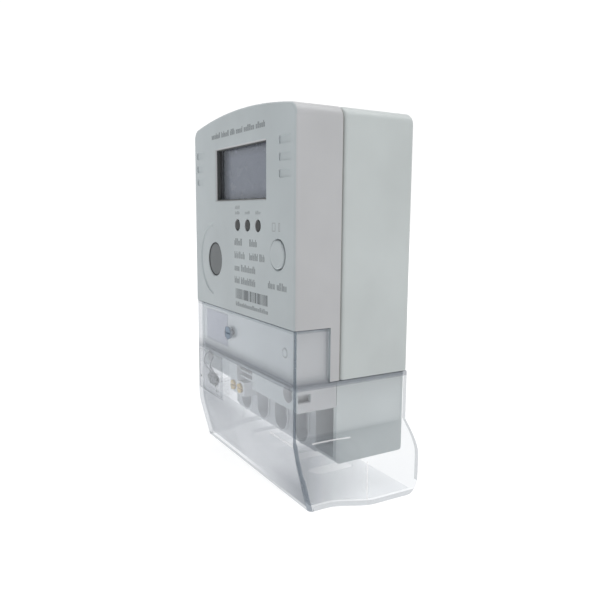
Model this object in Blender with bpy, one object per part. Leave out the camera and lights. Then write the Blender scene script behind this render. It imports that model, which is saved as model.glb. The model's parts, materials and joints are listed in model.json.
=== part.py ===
"""Prepaid single-phase electricity meter, built as an assembly of separate pieces.

Frame: +Z up, the front faces -Y, the wall face lies on Y = 0, X = 0 and Z = 0 are the housing's centre.
Lengths are millimetres in this file and metres in the scene. Most places are given as (x, depth, z), where
depth is measured backwards from the plane of the front face.
"""

import math

import bmesh
import bpy
from mathutils import Matrix, Vector

MM = 0.001
GAP = 0.3

# Housing
WIDTH = 112.0
DEPTH = 62.0
CROWN_Z = 82.0
BASE_Z = -80.8
ARCH_RADIUS = 335.0
TOP_CORNER = 5.5
BOTTOM_CORNER = 2.5
SEAM_DEPTH = 23.8
FRONT_FILLET = 1.4
SEAM_FILLET = 2.2
REAR_FILLET = 1.5
WALL = 2.2
RIM_INSET = 5.0
FRONT_HOUSING_Z = -53.6

# The stepped recess that the clear terminal cover fits flush into
COVER_TOP_Z = -16.6
SKIRT_TOP_Z = -40.8
PANEL_DEPTH = 2.8
BAND_DEPTH = 3.4
RECESS_HALF = 53.3
FLANGE_DEPTH = 18.0

# Clear terminal cover
COVER_WALL = 2.2
COVER_BOTTOM_Z = -98.4
COVER_CORNER = 2.5
FRONT_CURVE_Z = -64.0
FRONT_CURVE_RADIUS = 60.0
FRONT_CURVE_ANGLE = math.radians(15.0)
FLARE_TOP_Z = -64.5
FLARE_HEIGHT = 15.0
FLARE_REAR = 10.0
FLARE_FRONT = 1.8
FLARE_START_DEPTH = 17.0
FLARE_END_DEPTH = 38.0

# Features of the front face
LCD_X = (-26.5, 29.3)
LCD_Z = (39.4, 64.8)
LED_XS = (0.0, 11.1, 22.1)
LED_Z = 27.2
LED_HOLE = 2.9
PORT_X, PORT_Z = -28.5, 8.8
PORT_HOLE = 8.8
PORT_GROOVE = 18.4
BUTTON_X, BUTTON_Z = 41.0, 15.0
BUTTON_HOLE = 6.7
GRIP_X = (42.1, 52.0)
GRIP_ZS = (63.6, 56.6, 49.6)
COVER_SCREW_X, COVER_SCREW_Z = -13.3, -28.6
PLUNGER_X, PLUNGER_Z = 42.9, -28.4
POST_X, POST_Z = 44.5, -46.8
AUX_WINDOW_X = (-8.8, 8.8)
AUX_WINDOW_TOP = -44.6
AUX_SCREW_XS = (-16.6, -8.4)
AUX_SCREW_Z = -57.5
WALL_SCREW_X, WALL_SCREW_Z = 43.5, -66.0
BLANK_LABEL_X = (-47.0, -19.0)
BLANK_LABEL_Z = (-37.2, -20.2)
WIRING_LABEL_X = (-53.5, -21.5)
WIRING_LABEL_Z = (-66.5, -43.5)

# Circuit board
BOARD_DEPTH = 14.0
BOARD_THICKNESS = 1.6
BOARD_BACK = BOARD_DEPTH + BOARD_THICKNESS

# Terminals
TERMINAL_PITCH = 20.8
TERMINAL_XS = tuple(-39.6 + TERMINAL_PITCH * i for i in range(4))
TERMINAL_SCREW_ZS = (-61.6, -71.4)
BLOCK_X = (-50.6, 35.4)
BLOCK_DEPTH = (24.0, 52.0)
BLOCK_TOP = -53.3
MOUTH_HALF = 6.4
CAVITY_HALF = 5.7
CAGE_DEPTH = (33.3, 46.5)
CAGE_Z = (-77.2, -57.3)
CABLE_BORE = 4.3
CABLE_DEPTH = 41.2
BUSBAR_DEPTH = (46.8, 48.3)

SEGMENTS = 24


def clear_scene():
    for item in list(bpy.data.objects):
        bpy.data.objects.remove(item)


# ---------------------------------------------------------------- materials


def material(name, colour, roughness, metallic=0.0, alpha=1.0):
    found = bpy.data.materials.get(name)
    if found:
        return found
    made = bpy.data.materials.new(name)
    made.use_nodes = True
    shader = made.node_tree.nodes["Principled BSDF"]
    shader.inputs["Base Color"].default_value = (*colour, 1.0)
    shader.inputs["Roughness"].default_value = roughness
    shader.inputs["Metallic"].default_value = metallic
    shader.inputs["Alpha"].default_value = alpha
    made.diffuse_color = (*colour, alpha)
    return made


HOUSING_WHITE = ("housing_white", (0.72, 0.74, 0.75), 0.45)
CLEAR_COVER = ("clear_cover", (0.86, 0.9, 0.93), 0.08, 0.0, 0.25)
WINDOW_CLEAR = ("window_clear", (0.55, 0.6, 0.63), 0.1, 0.0, 0.4)
LCD_GREY = ("lcd_grey", (0.2, 0.23, 0.24), 0.25)
LENS_GREY = ("lens_grey", (0.08, 0.1, 0.11), 0.2)
PORT_GREY = ("port_grey", (0.2, 0.22, 0.23), 0.35)
TERMINAL_GREY = ("terminal_grey", (0.42, 0.44, 0.45), 0.55)
SEAL_RUBBER = ("seal_rubber", (0.05, 0.05, 0.055), 0.8)
BOARD_GREEN = ("board_green", (0.03, 0.2, 0.08), 0.5)
COMPONENT_BLACK = ("component_black", (0.03, 0.03, 0.035), 0.45)
COMPONENT_YELLOW = ("component_yellow", (0.75, 0.6, 0.12), 0.45)
COMPONENT_BLUE = ("component_blue", (0.06, 0.16, 0.45), 0.4)
BATTERY_SLEEVE = ("battery_sleeve", (0.12, 0.4, 0.28), 0.4)
BRASS = ("brass", (0.78, 0.6, 0.24), 0.3, 1.0)
COPPER = ("copper", (0.85, 0.47, 0.32), 0.3, 1.0)
ZINC_STEEL = ("zinc_steel", (0.6, 0.61, 0.62), 0.35, 1.0)
LEAD = ("lead", (0.22, 0.23, 0.24), 0.5, 1.0)
WHITE_PLASTIC = ("white_plastic", (0.8, 0.8, 0.79), 0.4)
LABEL_LILAC = ("label_lilac", (0.5, 0.53, 0.66), 0.5)
LABEL_FILM = ("label_film", (0.85, 0.87, 0.88), 0.4)


# ---------------------------------------------------------------- mesh helpers


def finish(name, bm, finish_values, origin=(0.0, 0.0, 0.0), smooth=True):
    """Turns a bmesh in (x, depth, z) millimetres into an object whose origin is at origin."""
    bmesh.ops.remove_doubles(bm, verts=bm.verts, dist=1e-5)
    bmesh.ops.recalc_face_normals(bm, faces=bm.faces)
    start = Vector(origin)
    bmesh.ops.translate(bm, verts=bm.verts, vec=-start)
    bmesh.ops.scale(bm, verts=bm.verts, vec=(MM, MM, MM))
    mesh = bpy.data.meshes.new(name)
    bm.to_mesh(mesh)
    bm.free()
    made = bpy.data.objects.new(name, mesh)
    bpy.context.scene.collection.objects.link(made)
    made.location = Vector((start.x, start.y - DEPTH, start.z)) * MM
    if finish_values:
        mesh.materials.append(material(*finish_values))
    if smooth:
        mesh.shade_smooth()
        mesh.set_sharp_from_angle(angle=math.radians(30))
    return made


def add_box(bm, x, depth, z):
    centre = Vector(((x[0] + x[1]) / 2, (depth[0] + depth[1]) / 2, (z[0] + z[1]) / 2))
    size = Vector((x[1] - x[0], depth[1] - depth[0], z[1] - z[0]))
    matrix = Matrix.Translation(centre) @ Matrix.Diagonal((*size, 1.0))
    bmesh.ops.create_cube(bm, size=1.0, matrix=matrix)


def boxes(name, finish_values, *ranges, bevel=0.0):
    """One object of boxes that don't overlap, each given as x, depth and z ranges."""
    bm = bmesh.new()
    for x, depth, z in ranges:
        add_box(bm, x, depth, z)
    if bevel:
        bmesh.ops.bevel(bm, geom=bm.edges[:], offset=bevel, segments=1, affect="EDGES")
    return finish(name, bm, finish_values, smooth=False)


def add_loft(bm, rings):
    """Closed solid through rings of equal length, capped at both ends."""
    rows = [[bm.verts.new(point) for point in ring] for ring in rings]
    count = len(rows[0])
    for lower, upper in zip(rows, rows[1:]):
        for i in range(count):
            j = (i + 1) % count
            bm.faces.new((lower[i], lower[j], upper[j], upper[i]))
    bm.faces.new(rows[0])
    bm.faces.new(rows[-1])


def lofted(name, finish_values, rings):
    bm = bmesh.new()
    add_loft(bm, rings)
    return finish(name, bm, finish_values)


TO_DEPTH = Matrix.Rotation(math.radians(-90), 4, "X")
TO_X = Matrix.Rotation(math.radians(90), 4, "Y")
TO_Z = Matrix.Identity(4)


def turned(name, finish_values, profile, centre, turn=TO_DEPTH, segments=SEGMENTS):
    """A turned solid. The profile is (radius, distance along the axis) from one end to the other."""
    bm = bmesh.new()
    verts = [bm.verts.new((radius, 0.0, along)) for radius, along in profile]
    edges = [bm.edges.new(pair) for pair in zip(verts, verts[1:])]
    if profile[0][0] > 0.0:
        edges.append(bm.edges.new((verts[-1], verts[0])))
    bmesh.ops.spin(
        bm,
        geom=verts + edges,
        cent=(0.0, 0.0, 0.0),
        axis=(0.0, 0.0, 1.0),
        angle=math.tau,
        steps=segments,
        use_merge=True,
    )
    bmesh.ops.transform(bm, matrix=Matrix.Translation(Vector(centre)) @ turn, verts=bm.verts)
    return finish(name, bm, finish_values, centre)


def rod(radius, start, end):
    """Profile of a plain cylinder for turned()."""
    return [(0.0, start), (radius, start), (radius, end), (0.0, end)]


def peg(name, radius, x, z, depths, segments=SEGMENTS):
    """A plain cylinder along the depth axis, for bosses and holes."""
    return turned(name, None, rod(radius, depths[0], depths[1]), (x, 0.0, z), TO_DEPTH, segments)


def boolean(target, tool, operation):
    step = target.modifiers.new(tool.name, "BOOLEAN")
    step.operation = operation
    step.solver = "EXACT"
    step.object = tool
    tool.hide_render = True
    tool.display_type = "WIRE"


def cut(target, *tools):
    for tool in tools:
        boolean(target, tool, "DIFFERENCE")


def join(target, *tools):
    for tool in tools:
        boolean(target, tool, "UNION")


# ---------------------------------------------------------------- outlines


def arc(cx, cz, radius, start, end, steps):
    """Points on a circle from angle start to end, in degrees, both ends included."""
    points = []
    for i in range(steps + 1):
        angle = math.radians(start + (end - start) * i / steps)
        points.append((cx + radius * math.cos(angle), cz + radius * math.sin(angle)))
    return points


def housing_outline(inset, bottom=BASE_Z):
    """Front view of the housing, moved inwards by inset: straight sides, rounded corners, arched top."""
    half = WIDTH / 2 - inset
    arch = ARCH_RADIUS - inset
    corner = max(TOP_CORNER - inset, 0.6)
    arch_z = CROWN_Z - ARCH_RADIUS
    corner_x = half - corner
    corner_z = arch_z + math.sqrt((arch - corner) ** 2 - corner_x**2)
    lean = math.degrees(math.atan2(corner_z - arch_z, corner_x))
    foot = max(BOTTOM_CORNER - inset, 0.4)
    low = bottom + inset
    points = arc(half - foot, low + foot, foot, -90, 0, 2)
    points += arc(corner_x, corner_z, corner, 0, lean, 5)
    points += arc(0.0, arch_z, arch, lean, 180 - lean, 10)[1:-1]
    points += arc(-corner_x, corner_z, corner, 180 - lean, 180, 5)
    points += arc(-half + foot, low + foot, foot, 180, 270, 2)
    return points


def ring(outline, depth):
    return [(x, depth, z) for x, z in outline]


def fillet_steps(radius, steps=3):
    """(distance from the face, inset) pairs down a rounded edge, from the face to the side."""
    pairs = []
    for i in range(steps + 1):
        angle = math.pi / 2 * i / steps
        pairs.append((radius * (1 - math.cos(angle)), radius * (1 - math.sin(angle))))
    return pairs


def housing_prism(name, inset, depths, bottom=BASE_Z):
    rings = [ring(housing_outline(inset, bottom - inset), depth) for depth in depths]
    return lofted(name, None, rings)


# ---------------------------------------------------------------- front housing


def recess_boxes(prefix, front):
    """Cutters for the step that the terminal cover fits into. front is True for the front housing."""
    side_top = SKIRT_TOP_Z + GAP
    outside = (RECESS_HALF, 60.0)
    mirrored = (-60.0, -RECESS_HALF)
    low = (-90.0, side_top)
    tools = [
        boxes(prefix + "_skirt_right", None, (outside, (-5.0, 70.0), low)),
        boxes(prefix + "_skirt_left", None, (mirrored, (-5.0, 70.0), low)),
    ]
    if front:
        high = (-70.0, COVER_TOP_Z + GAP)
        flange = (-5.0, FLANGE_DEPTH + GAP)
        tools += [
            boxes(prefix + "_panel", None, ((-60.0, 60.0), (-5.0, PANEL_DEPTH), high)),
            boxes(prefix + "_band", None, ((-60.0, 60.0), (-5.0, BAND_DEPTH), low)),
            boxes(prefix + "_flange_right", None, (outside, flange, high)),
            boxes(prefix + "_flange_left", None, (mirrored, flange, high)),
        ]
    return tools


def lcd_aperture():
    chamfer = 0.8
    steps = ((-1.0, chamfer), (0.0, chamfer), (chamfer, 0.0), (6.0, 0.0))
    rings = []
    for depth, grow in steps:
        left, right = LCD_X[0] - grow, LCD_X[1] + grow
        low, high = LCD_Z[0] - grow, LCD_Z[1] + grow
        rings.append([(left, depth, low), (right, depth, low), (right, depth, high), (left, depth, high)])
    return lofted("cut_lcd", None, rings)


def port_groove():
    """Half-ring groove to the left of the optical port, where the reading head's rim rests."""
    half_width, groove_depth = 0.65, 0.5
    outer = arc(PORT_X, PORT_Z, PORT_GROOVE + half_width, 95, 262, 16)
    inner = arc(PORT_X, PORT_Z, PORT_GROOVE - half_width, 262, 95, 16)
    outline = outer + inner
    return lofted("cut_port_groove", None, [ring(outline, -1.0), ring(outline, groove_depth)])


def grip_grooves():
    half_height, groove_depth = 1.7, 0.4
    ranges = []
    for z in GRIP_ZS:
        rows = (z - half_height, z + half_height)
        ranges.append((GRIP_X, (-1.0, groove_depth), rows))
        ranges.append(((-GRIP_X[1], -GRIP_X[0]), (-1.0, groove_depth), rows))
    return boxes("cut_grips", None, *ranges)


def front_housing():
    steps = fillet_steps(FRONT_FILLET)
    rear = SEAM_DEPTH - GAP
    steps += [(rear - 0.5, 0.0), (rear, 0.4)]
    shell = lofted(
        "front_housing",
        HOUSING_WHITE,
        [ring(housing_outline(inset, FRONT_HOUSING_Z - inset), d) for d, inset in steps],
    )
    cut(shell, *recess_boxes("cut_front", True))

    # Hollow inside, with a thicker rim where it meets the base
    floor_z = FRONT_HOUSING_Z + WALL
    rim_front = SEAM_DEPTH - 4.3
    cut(
        shell,
        housing_prism("cut_front_upper", WALL, (2.5, rim_front), COVER_TOP_Z + WALL + GAP),
        housing_prism("cut_front_lower", RIM_INSET, (BAND_DEPTH + 1.8, 30.0), floor_z),
    )

    # Bosses inside: seal screw posts, cover screw boss, aux window box, board standoffs
    boss_depths = (BAND_DEPTH + 1.4, rear)
    for side, x in (("right", POST_X), ("left", -POST_X)):
        join(shell, peg("boss_post_" + side, 5.6, x, POST_Z, boss_depths, 18))
    join(shell, peg("boss_cover_screw", 4.0, COVER_SCREW_X, COVER_SCREW_Z, (4.5, 12.0), 14))
    window_wall = 1.8
    aux_box = (
        (AUX_WINDOW_X[0] - window_wall, AUX_WINDOW_X[1] + window_wall),
        (4.5, 13.0),
        (FRONT_HOUSING_Z + 0.4, AUX_WINDOW_TOP + window_wall),
    )
    join(shell, boxes("boss_aux_window", None, aux_box))
    for side, x in (("right", 42.5), ("left", -42.5)):
        join(shell, peg("standoff_top_" + side, 2.6, x, 67.5, (2.0, BOARD_DEPTH - GAP), 16))
        join(shell, peg("standoff_low_" + side, 2.6, x, -12.5, (2.0, BOARD_DEPTH - GAP), 16))

    # Openings
    cut(shell, lcd_aperture(), port_groove(), grip_grooves())
    for i, x in enumerate(LED_XS):
        cut(shell, peg(f"cut_led_{i + 1}", LED_HOLE, x, LED_Z, (-1.0, 5.0), 18))
    cut(
        shell,
        peg("cut_port", PORT_HOLE, PORT_X, PORT_Z, (-1.0, 5.0)),
        peg("cut_button", BUTTON_HOLE, BUTTON_X, BUTTON_Z, (-1.0, 5.0)),
        peg("cut_cover_screw", 1.8, COVER_SCREW_X, COVER_SCREW_Z, (0.0, 11.0), 20),
        peg("cut_plunger", 2.4, PLUNGER_X, PLUNGER_Z, (0.0, 8.0), 24),
        boxes(
            "cut_blank_label",
            None,
            (
                (BLANK_LABEL_X[0] - GAP, BLANK_LABEL_X[1] + GAP),
                (0.0, PANEL_DEPTH + 0.5),
                (BLANK_LABEL_Z[0] - GAP, BLANK_LABEL_Z[1] + GAP),
            ),
        ),
    )
    for side, x in (("right", POST_X), ("left", -POST_X)):
        cut(shell, peg("cut_post_" + side, 4.1, x, POST_Z, (0.0, 9.4), 18))
        cut(shell, peg("cut_post_hole_" + side, 2.2, x, POST_Z, (8.0, 30.0), 14))
    cut(
        shell,
        boxes("cut_snap_right", None, ((50.0, 55.0), (3.6, 10.0), (-49.3, -45.5))),
        boxes("cut_snap_left", None, ((-55.0, -50.0), (3.6, 10.0), (-49.3, -45.5))),
    )

    # The window above the auxiliary terminals, with two shelves left standing in it
    shelf, shelves = 0.9, (-47.6, -50.6)
    edges = [AUX_WINDOW_TOP] + [z + s for z in shelves for s in (shelf / 2, -shelf / 2)]
    edges.append(FRONT_HOUSING_Z - 1.0)
    slots = [(AUX_WINDOW_X, (4.2, 11.0), (edges[i + 1], edges[i])) for i in range(0, len(edges), 2)]
    mouth = (AUX_WINDOW_X, (0.0, 5.0), (FRONT_HOUSING_Z - 1.0, AUX_WINDOW_TOP))
    cut(shell, boxes("cut_aux_mouth", None, mouth))
    cut(shell, boxes("cut_aux_slots", None, *slots))
    return shell


# ---------------------------------------------------------------- rear base


def rear_base():
    steps = [(SEAM_DEPTH + d, inset) for d, inset in fillet_steps(SEAM_FILLET)]
    steps += [(DEPTH - d, inset) for d, inset in reversed(fillet_steps(REAR_FILLET, 4))]
    base = lofted(
        "rear_base",
        HOUSING_WHITE,
        [ring(housing_outline(inset), d) for d, inset in steps],
    )
    cut(base, *recess_boxes("cut_base", False))

    back_wall = 2.5
    rim_back = SEAM_DEPTH + 4.0
    terminal_roof = -51.0
    inner_x = (2.4 - RECESS_HALF, RECESS_HALF - 2.4)
    block_x = (BLOCK_X[0] - GAP, BLOCK_X[1] + GAP)
    cut(
        base,
        housing_prism("cut_base_rim", RIM_INSET, (20.0, rim_back + 1.0), SKIRT_TOP_Z + WALL),
        housing_prism("cut_base_inside", WALL + 0.2, (rim_back, DEPTH - back_wall), SKIRT_TOP_Z + WALL),
        boxes("cut_base_low", None, (inner_x, (20.0, DEPTH - back_wall), (BASE_Z + 2.4, -37.0))),
        boxes("cut_base_block", None, (block_x, (20.0, BLOCK_DEPTH[1] + GAP), (-90.0, terminal_roof))),
    )

    # Groove for the seal between the two housings
    groove_outer = housing_outline(2.9, SKIRT_TOP_Z - 0.3)
    groove_inner = housing_outline(4.4, SKIRT_TOP_Z - 0.3)
    groove = lofted("cut_seal_groove", None, [ring(groove_outer, 23.0), ring(groove_outer, 24.8)])
    cut(groove, lofted("cut_seal_core", None, [ring(groove_inner, 22.0), ring(groove_inner, 26.0)]))
    cut(base, groove)

    # Screw bosses, each one block with its side wall
    boss_depths = (SEAM_DEPTH + GAP, 44.0)
    boss_radius = 4.6
    for side, sign in (("right", 1.0), ("left", -1.0)):
        outline = [(sign * (RECESS_HALF - 1.5), POST_Z + boss_radius)]
        outline += [(sign * px, pz) for px, pz in arc(POST_X, POST_Z, boss_radius, 90, 270, 8)]
        outline.append((sign * (RECESS_HALF - 1.5), POST_Z - boss_radius))
        join(base, lofted("base_boss_" + side, None, [ring(outline, d) for d in boss_depths]))
        cut(base, peg("cut_base_boss_" + side, 2.0, sign * POST_X, POST_Z, (20.0, 42.0), 14))

    # Hanger slot in the back, open at the top: wide inside, narrow at the wall face
    join(base, boxes("hanger_boss", None, ((-13.0, 13.0), (55.5, 60.5), (36.0, 76.0))))
    cut(
        base,
        boxes("cut_hanger_slot", None, ((-10.3, 10.3), (58.6, 60.6), (38.0, 90.0))),
        boxes("cut_hanger_face", None, ((-7.0, 7.0), (60.0, 65.0), (38.0, 90.0))),
    )

    # Lower wall screw hole, at the back of the open chamber beside the terminals
    cut(base, peg("cut_wall_screw", 2.6, WALL_SCREW_X, WALL_SCREW_Z, (50.0, 70.0), 18))
    return base


def housing_gasket():
    bottom = SKIRT_TOP_Z - 0.3
    outer = housing_outline(3.2, bottom)
    inner = housing_outline(4.1, bottom)
    seal = lofted("housing_gasket", SEAL_RUBBER, [ring(outer, 24.1 - GAP), ring(outer, 24.5)])
    cut(seal, lofted("cut_gasket", None, [ring(inner, 22.0), ring(inner, 26.0)]))
    return seal


# ---------------------------------------------------------------- display, lights and port


def display():
    grow = 3.0
    pane_x = (LCD_X[0] - grow, LCD_X[1] + grow)
    pane_z = (LCD_Z[0] - grow, LCD_Z[1] + grow)
    boxes("lcd_window", WINDOW_CLEAR, (pane_x, (2.8, 4.2), pane_z))
    glass_x = (LCD_X[0] - 1.0, LCD_X[1] + 1.0)
    glass_z = (LCD_Z[0] - 1.0, LCD_Z[1] + 1.0)
    boxes("lcd_glass", LCD_GREY, (glass_x, (4.6, 7.4), glass_z))
    holder = boxes(
        "lcd_holder",
        WHITE_PLASTIC,
        ((pane_x[0] - 1.0, pane_x[1] + 1.0), (4.6, BOARD_DEPTH - GAP), (pane_z[0] - 1.0, pane_z[1] - 0.5)),
    )
    pocket_x = (glass_x[0] - GAP, glass_x[1] + GAP)
    pocket_z = (glass_z[0] - GAP, glass_z[1] + GAP)
    cut(
        holder,
        boxes("cut_lcd_pocket", None, (pocket_x, (4.0, 7.8), pocket_z)),
        boxes("cut_lcd_rear", None, (pocket_x, (9.6, 15.0), pocket_z)),
    )


def led_lenses():
    for i, x in enumerate(LED_XS):
        profile = [(0.0, 0.1), (2.2, 0.1), (2.6, 0.5), (2.6, 2.8), (3.6, 2.8), (3.6, 4.0)]
        profile += [(2.3, 4.0), (2.3, BOARD_DEPTH - GAP), (0.0, BOARD_DEPTH - GAP)]
        turned(f"led_lens_{i + 1}", LENS_GREY, profile, (x, 0.0, LED_Z), segments=16)


def optical_port():
    profile = [(0.0, 0.5), (8.2, 0.5), (8.5, 0.8), (8.5, 2.8), (10.2, 2.8), (10.2, 3.8), (0.0, 3.8)]
    turned("optical_window", PORT_GREY, profile, (PORT_X, 0.0, PORT_Z))
    ring_profile = [(10.6, 2.8), (15.4, 2.8), (15.4, 4.4), (10.6, 4.4)]
    turned("port_magnet_ring", ZINC_STEEL, ring_profile, (PORT_X, 0.0, PORT_Z))
    eye = [(0.0, 5.0), (1.6, 5.3), (2.4, 6.6), (2.4, BOARD_DEPTH - GAP), (0.0, BOARD_DEPTH - GAP)]
    turned("optical_emitter", COMPONENT_BLACK, eye, (PORT_X, 0.0, PORT_Z + 3.2), segments=16)
    turned("optical_receiver", COMPONENT_BLACK, eye, (PORT_X, 0.0, PORT_Z - 3.2), segments=16)


# ---------------------------------------------------------------- button and cover switch


def push_button():
    cap = [(0.0, -0.5), (4.4, -0.65), (5.9, -0.6), (6.3, -0.2), (6.3, 2.8), (7.7, 2.8), (7.7, 4.0)]
    cap += [(2.2, 4.0), (2.2, 8.6), (0.0, 8.6)]
    turned("push_button", HOUSING_WHITE, cap, (BUTTON_X, 0.0, BUTTON_Z))
    plunger = rod(1.6, 8.9, 11.2)
    turned("tact_plunger", COMPONENT_BLACK, plunger, (BUTTON_X, 0.0, BUTTON_Z), segments=16)
    half = 3.0
    body = boxes(
        "tact_switch",
        ZINC_STEEL,
        ((BUTTON_X - half, BUTTON_X + half), (10.2, BOARD_DEPTH - GAP), (BUTTON_Z - half, BUTTON_Z + half)),
    )
    cut(body, peg("cut_tact", 1.9, BUTTON_X, BUTTON_Z, (9.0, 12.6), 14))


def cover_switch():
    profile = [(0.0, 2.5), (1.7, 2.5), (2.0, 2.8), (2.0, 10.2), (0.0, 10.2)]
    turned("cover_switch_plunger", WHITE_PLASTIC, profile, (PLUNGER_X, 0.0, PLUNGER_Z), segments=24)
    body = boxes(
        "cover_switch_body",
        COMPONENT_BLACK,
        ((PLUNGER_X - 5.5, PLUNGER_X + 5.0), (8.6, BOARD_DEPTH - GAP), (PLUNGER_Z - 3.2, PLUNGER_Z + 3.2)),
    )
    cut(body, peg("cut_switch", 2.3, PLUNGER_X, PLUNGER_Z, (8.0, 12.6), 18))


# ---------------------------------------------------------------- electronics


def circuit_board():
    inset = 8.2
    outline = housing_outline(inset, -38.0 - inset)
    lofted("main_board", BOARD_GREEN, [ring(outline, BOARD_DEPTH), ring(outline, BOARD_BACK)])


def board_parts():
    back = BOARD_BACK + GAP
    turned("backup_battery", BATTERY_SLEEVE, rod(7.2, -12.5, 12.5), (-24.0, back + 7.4, 55.0), TO_X, 20)
    boxes("power_capacitor", COMPONENT_YELLOW, ((4.0, 30.0), (back, back + 17.5), (50.0, 60.0)), bevel=0.6)
    turned("filter_capacitor", COMPONENT_BLACK, rod(5.0, back, back + 20.0), (38.5, 0.0, 40.0), segments=20)
    turned("surge_varistor", COMPONENT_BLUE, rod(7.0, -2.0, 2.0), (36.0, back + 7.2, 20.0), TO_X, 20)
    sounder = [(0.0, back), (6.0, back), (6.0, back + 7.5), (1.2, back + 7.5)]
    sounder += [(1.2, back + 6.5), (0.0, back + 6.5)]
    turned("sounder", COMPONENT_BLACK, sounder, (34.0, 0.0, -6.0), segments=20)
    core = boxes("transformer_core", ZINC_STEEL, ((4.0, 28.0), (back, back + 20.0), (18.0, 38.0)))
    cut(
        core,
        boxes("cut_core_upper", None, ((0.0, 32.0), (back + 3.5, back + 16.5), (31.5, 34.5))),
        boxes("cut_core_lower", None, ((0.0, 32.0), (back + 3.5, back + 16.5), (21.5, 24.5))),
    )


def relay():
    """Latching relay that cuts the supply when the credit runs out."""
    x, z = (-46.0, -10.0), (-14.0, 22.0)
    back = BOARD_BACK + GAP
    floor = back + 2.6
    boxes("relay_base", COMPONENT_BLACK, (x, (back, floor), z))
    roof = back + 21.0
    case = boxes("relay_case", COMPONENT_BLACK, (x, (floor + GAP, roof), z), bevel=0.8)
    wall = 1.2
    inner_x = (x[0] + wall, x[1] - wall)
    inner_z = (z[0] + wall, z[1] - wall)
    cut(case, boxes("cut_relay_case", None, (inner_x, (floor, roof - wall), inner_z)))
    coil_depth = back + 10.5
    half_bobbin = [(6.2, 11.0), (6.2, 9.6), (5.0, 9.6)]
    bobbin = [(0.0, -11.0)] + [(radius, -along) for radius, along in half_bobbin]
    bobbin += half_bobbin[::-1] + [(0.0, 11.0)]
    turned("relay_coil", COPPER, bobbin, (-26.0, coil_depth, -3.5), TO_X, 24)
    # A flat armature that rocks on its middle above the coil
    pivot = (-28.0, coil_depth, 11.5)
    half_sizes = (13.0, 4.5, 1.0)
    bm = bmesh.new()
    add_box(bm, *((centre - half, centre + half) for centre, half in zip(pivot, half_sizes)))
    finish("relay_armature", bm, ZINC_STEEL, pivot, smooth=False)


def busbars():
    half = 4.0
    left, second, third, fourth = TERMINAL_XS
    foot = -75.0
    relay_top = BOARD_BACK + 21.0 + 2 * GAP
    boxes("busbar_line_in", COPPER, ((left - half, left + half), BUSBAR_DEPTH, (foot, 4.0)))
    boxes("busbar_line_out", COPPER, ((second - half, second + half), BUSBAR_DEPTH, (foot, -32.0)))
    boxes("shunt", BRASS, ((second - half, second + half), BUSBAR_DEPTH, (-31.7, 4.0)))
    link = boxes("neutral_link", COPPER, ((third - half, third + half), BUSBAR_DEPTH, (foot, -44.0)))
    inner = (third + half - 1.0, fourth + half)
    join(link, boxes("link_bridge", None, (inner, BUSBAR_DEPTH, (-49.6, -44.0))))
    join(link, boxes("link_leg", None, ((fourth - half, fourth + half), BUSBAR_DEPTH, (foot, -46.0))))
    # Pillars that carry the current from the busbars into the relay
    for name, x in (("relay_stud_in", left), ("relay_stud_out", second)):
        pillar = rod(3.0, relay_top, BUSBAR_DEPTH[0] - GAP)
        turned(name, BRASS, pillar, (x, 0.0, -2.0), segments=16)


# ---------------------------------------------------------------- terminals


def mouth_outline(x, half, low, high):
    """U shape: open top, round bottom."""
    points = [(x - half, high)]
    points += arc(x, low + half, half, 180, 360, 8)
    points.append((x + half, high))
    return points


def terminal_block():
    block = boxes("terminal_block", TERMINAL_GREY, (BLOCK_X, BLOCK_DEPTH, (BASE_Z, BLOCK_TOP)))
    low = BASE_Z + 1.3
    rim = 1.1
    cable_hole = rod(CABLE_BORE + 0.2, -20.0, 20.0)
    for i, x in enumerate(TERMINAL_XS):
        tag = str(i + 1)
        outer = mouth_outline(x, MOUTH_HALF + rim, low - rim, BLOCK_TOP - 0.5)
        join(block, lofted("rim_" + tag, None, [ring(outer, BLOCK_DEPTH[0] - 0.7), ring(outer, 26.0)]))
    for i, x in enumerate(TERMINAL_XS):
        tag = str(i + 1)
        inner = mouth_outline(x, MOUTH_HALF, low, BLOCK_TOP + 5.0)
        cavity_x = (x - CAVITY_HALF, x + CAVITY_HALF)
        cut(
            block,
            lofted("cut_mouth_" + tag, None, [ring(inner, 20.0), ring(inner, 30.0)]),
            boxes("cut_cage_" + tag, None, (cavity_x, (33.0, 60.0), (-77.5, -57.0))),
            boxes("cut_busbar_" + tag, None, (cavity_x, (46.6, 60.0), (-77.6, -40.0))),
            turned("cut_cable_" + tag, None, cable_hole, (x, CABLE_DEPTH, BASE_Z), TO_Z, 16),
        )
        for j, z in enumerate(TERMINAL_SCREW_ZS):
            cut(block, peg(f"cut_screw_{tag}_{j + 1}", 3.6, x, z, (28.0, 35.0), 18))
    return block


def screw(name, finish_values, x, z, depths, head, shank):
    """Slotted cheese-head screw along the depth axis: the head's top, its underside and the shank's tip."""
    top, under, tip = depths
    profile = [(0.0, top), (head, top), (head, under), (shank, under), (shank, tip), (0.0, tip)]
    made = turned(name, finish_values, profile, (x, 0.0, z), segments=14)
    width = head * 0.28
    slot_depth = (under - top) * 0.55
    bar = boxes(
        "slot_" + name,
        None,
        ((x - head - 1.0, x + head + 1.0), (top - 1.0, top + slot_depth), (z - width / 2, z + width / 2)),
    )
    cut(made, bar)
    return made


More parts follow.
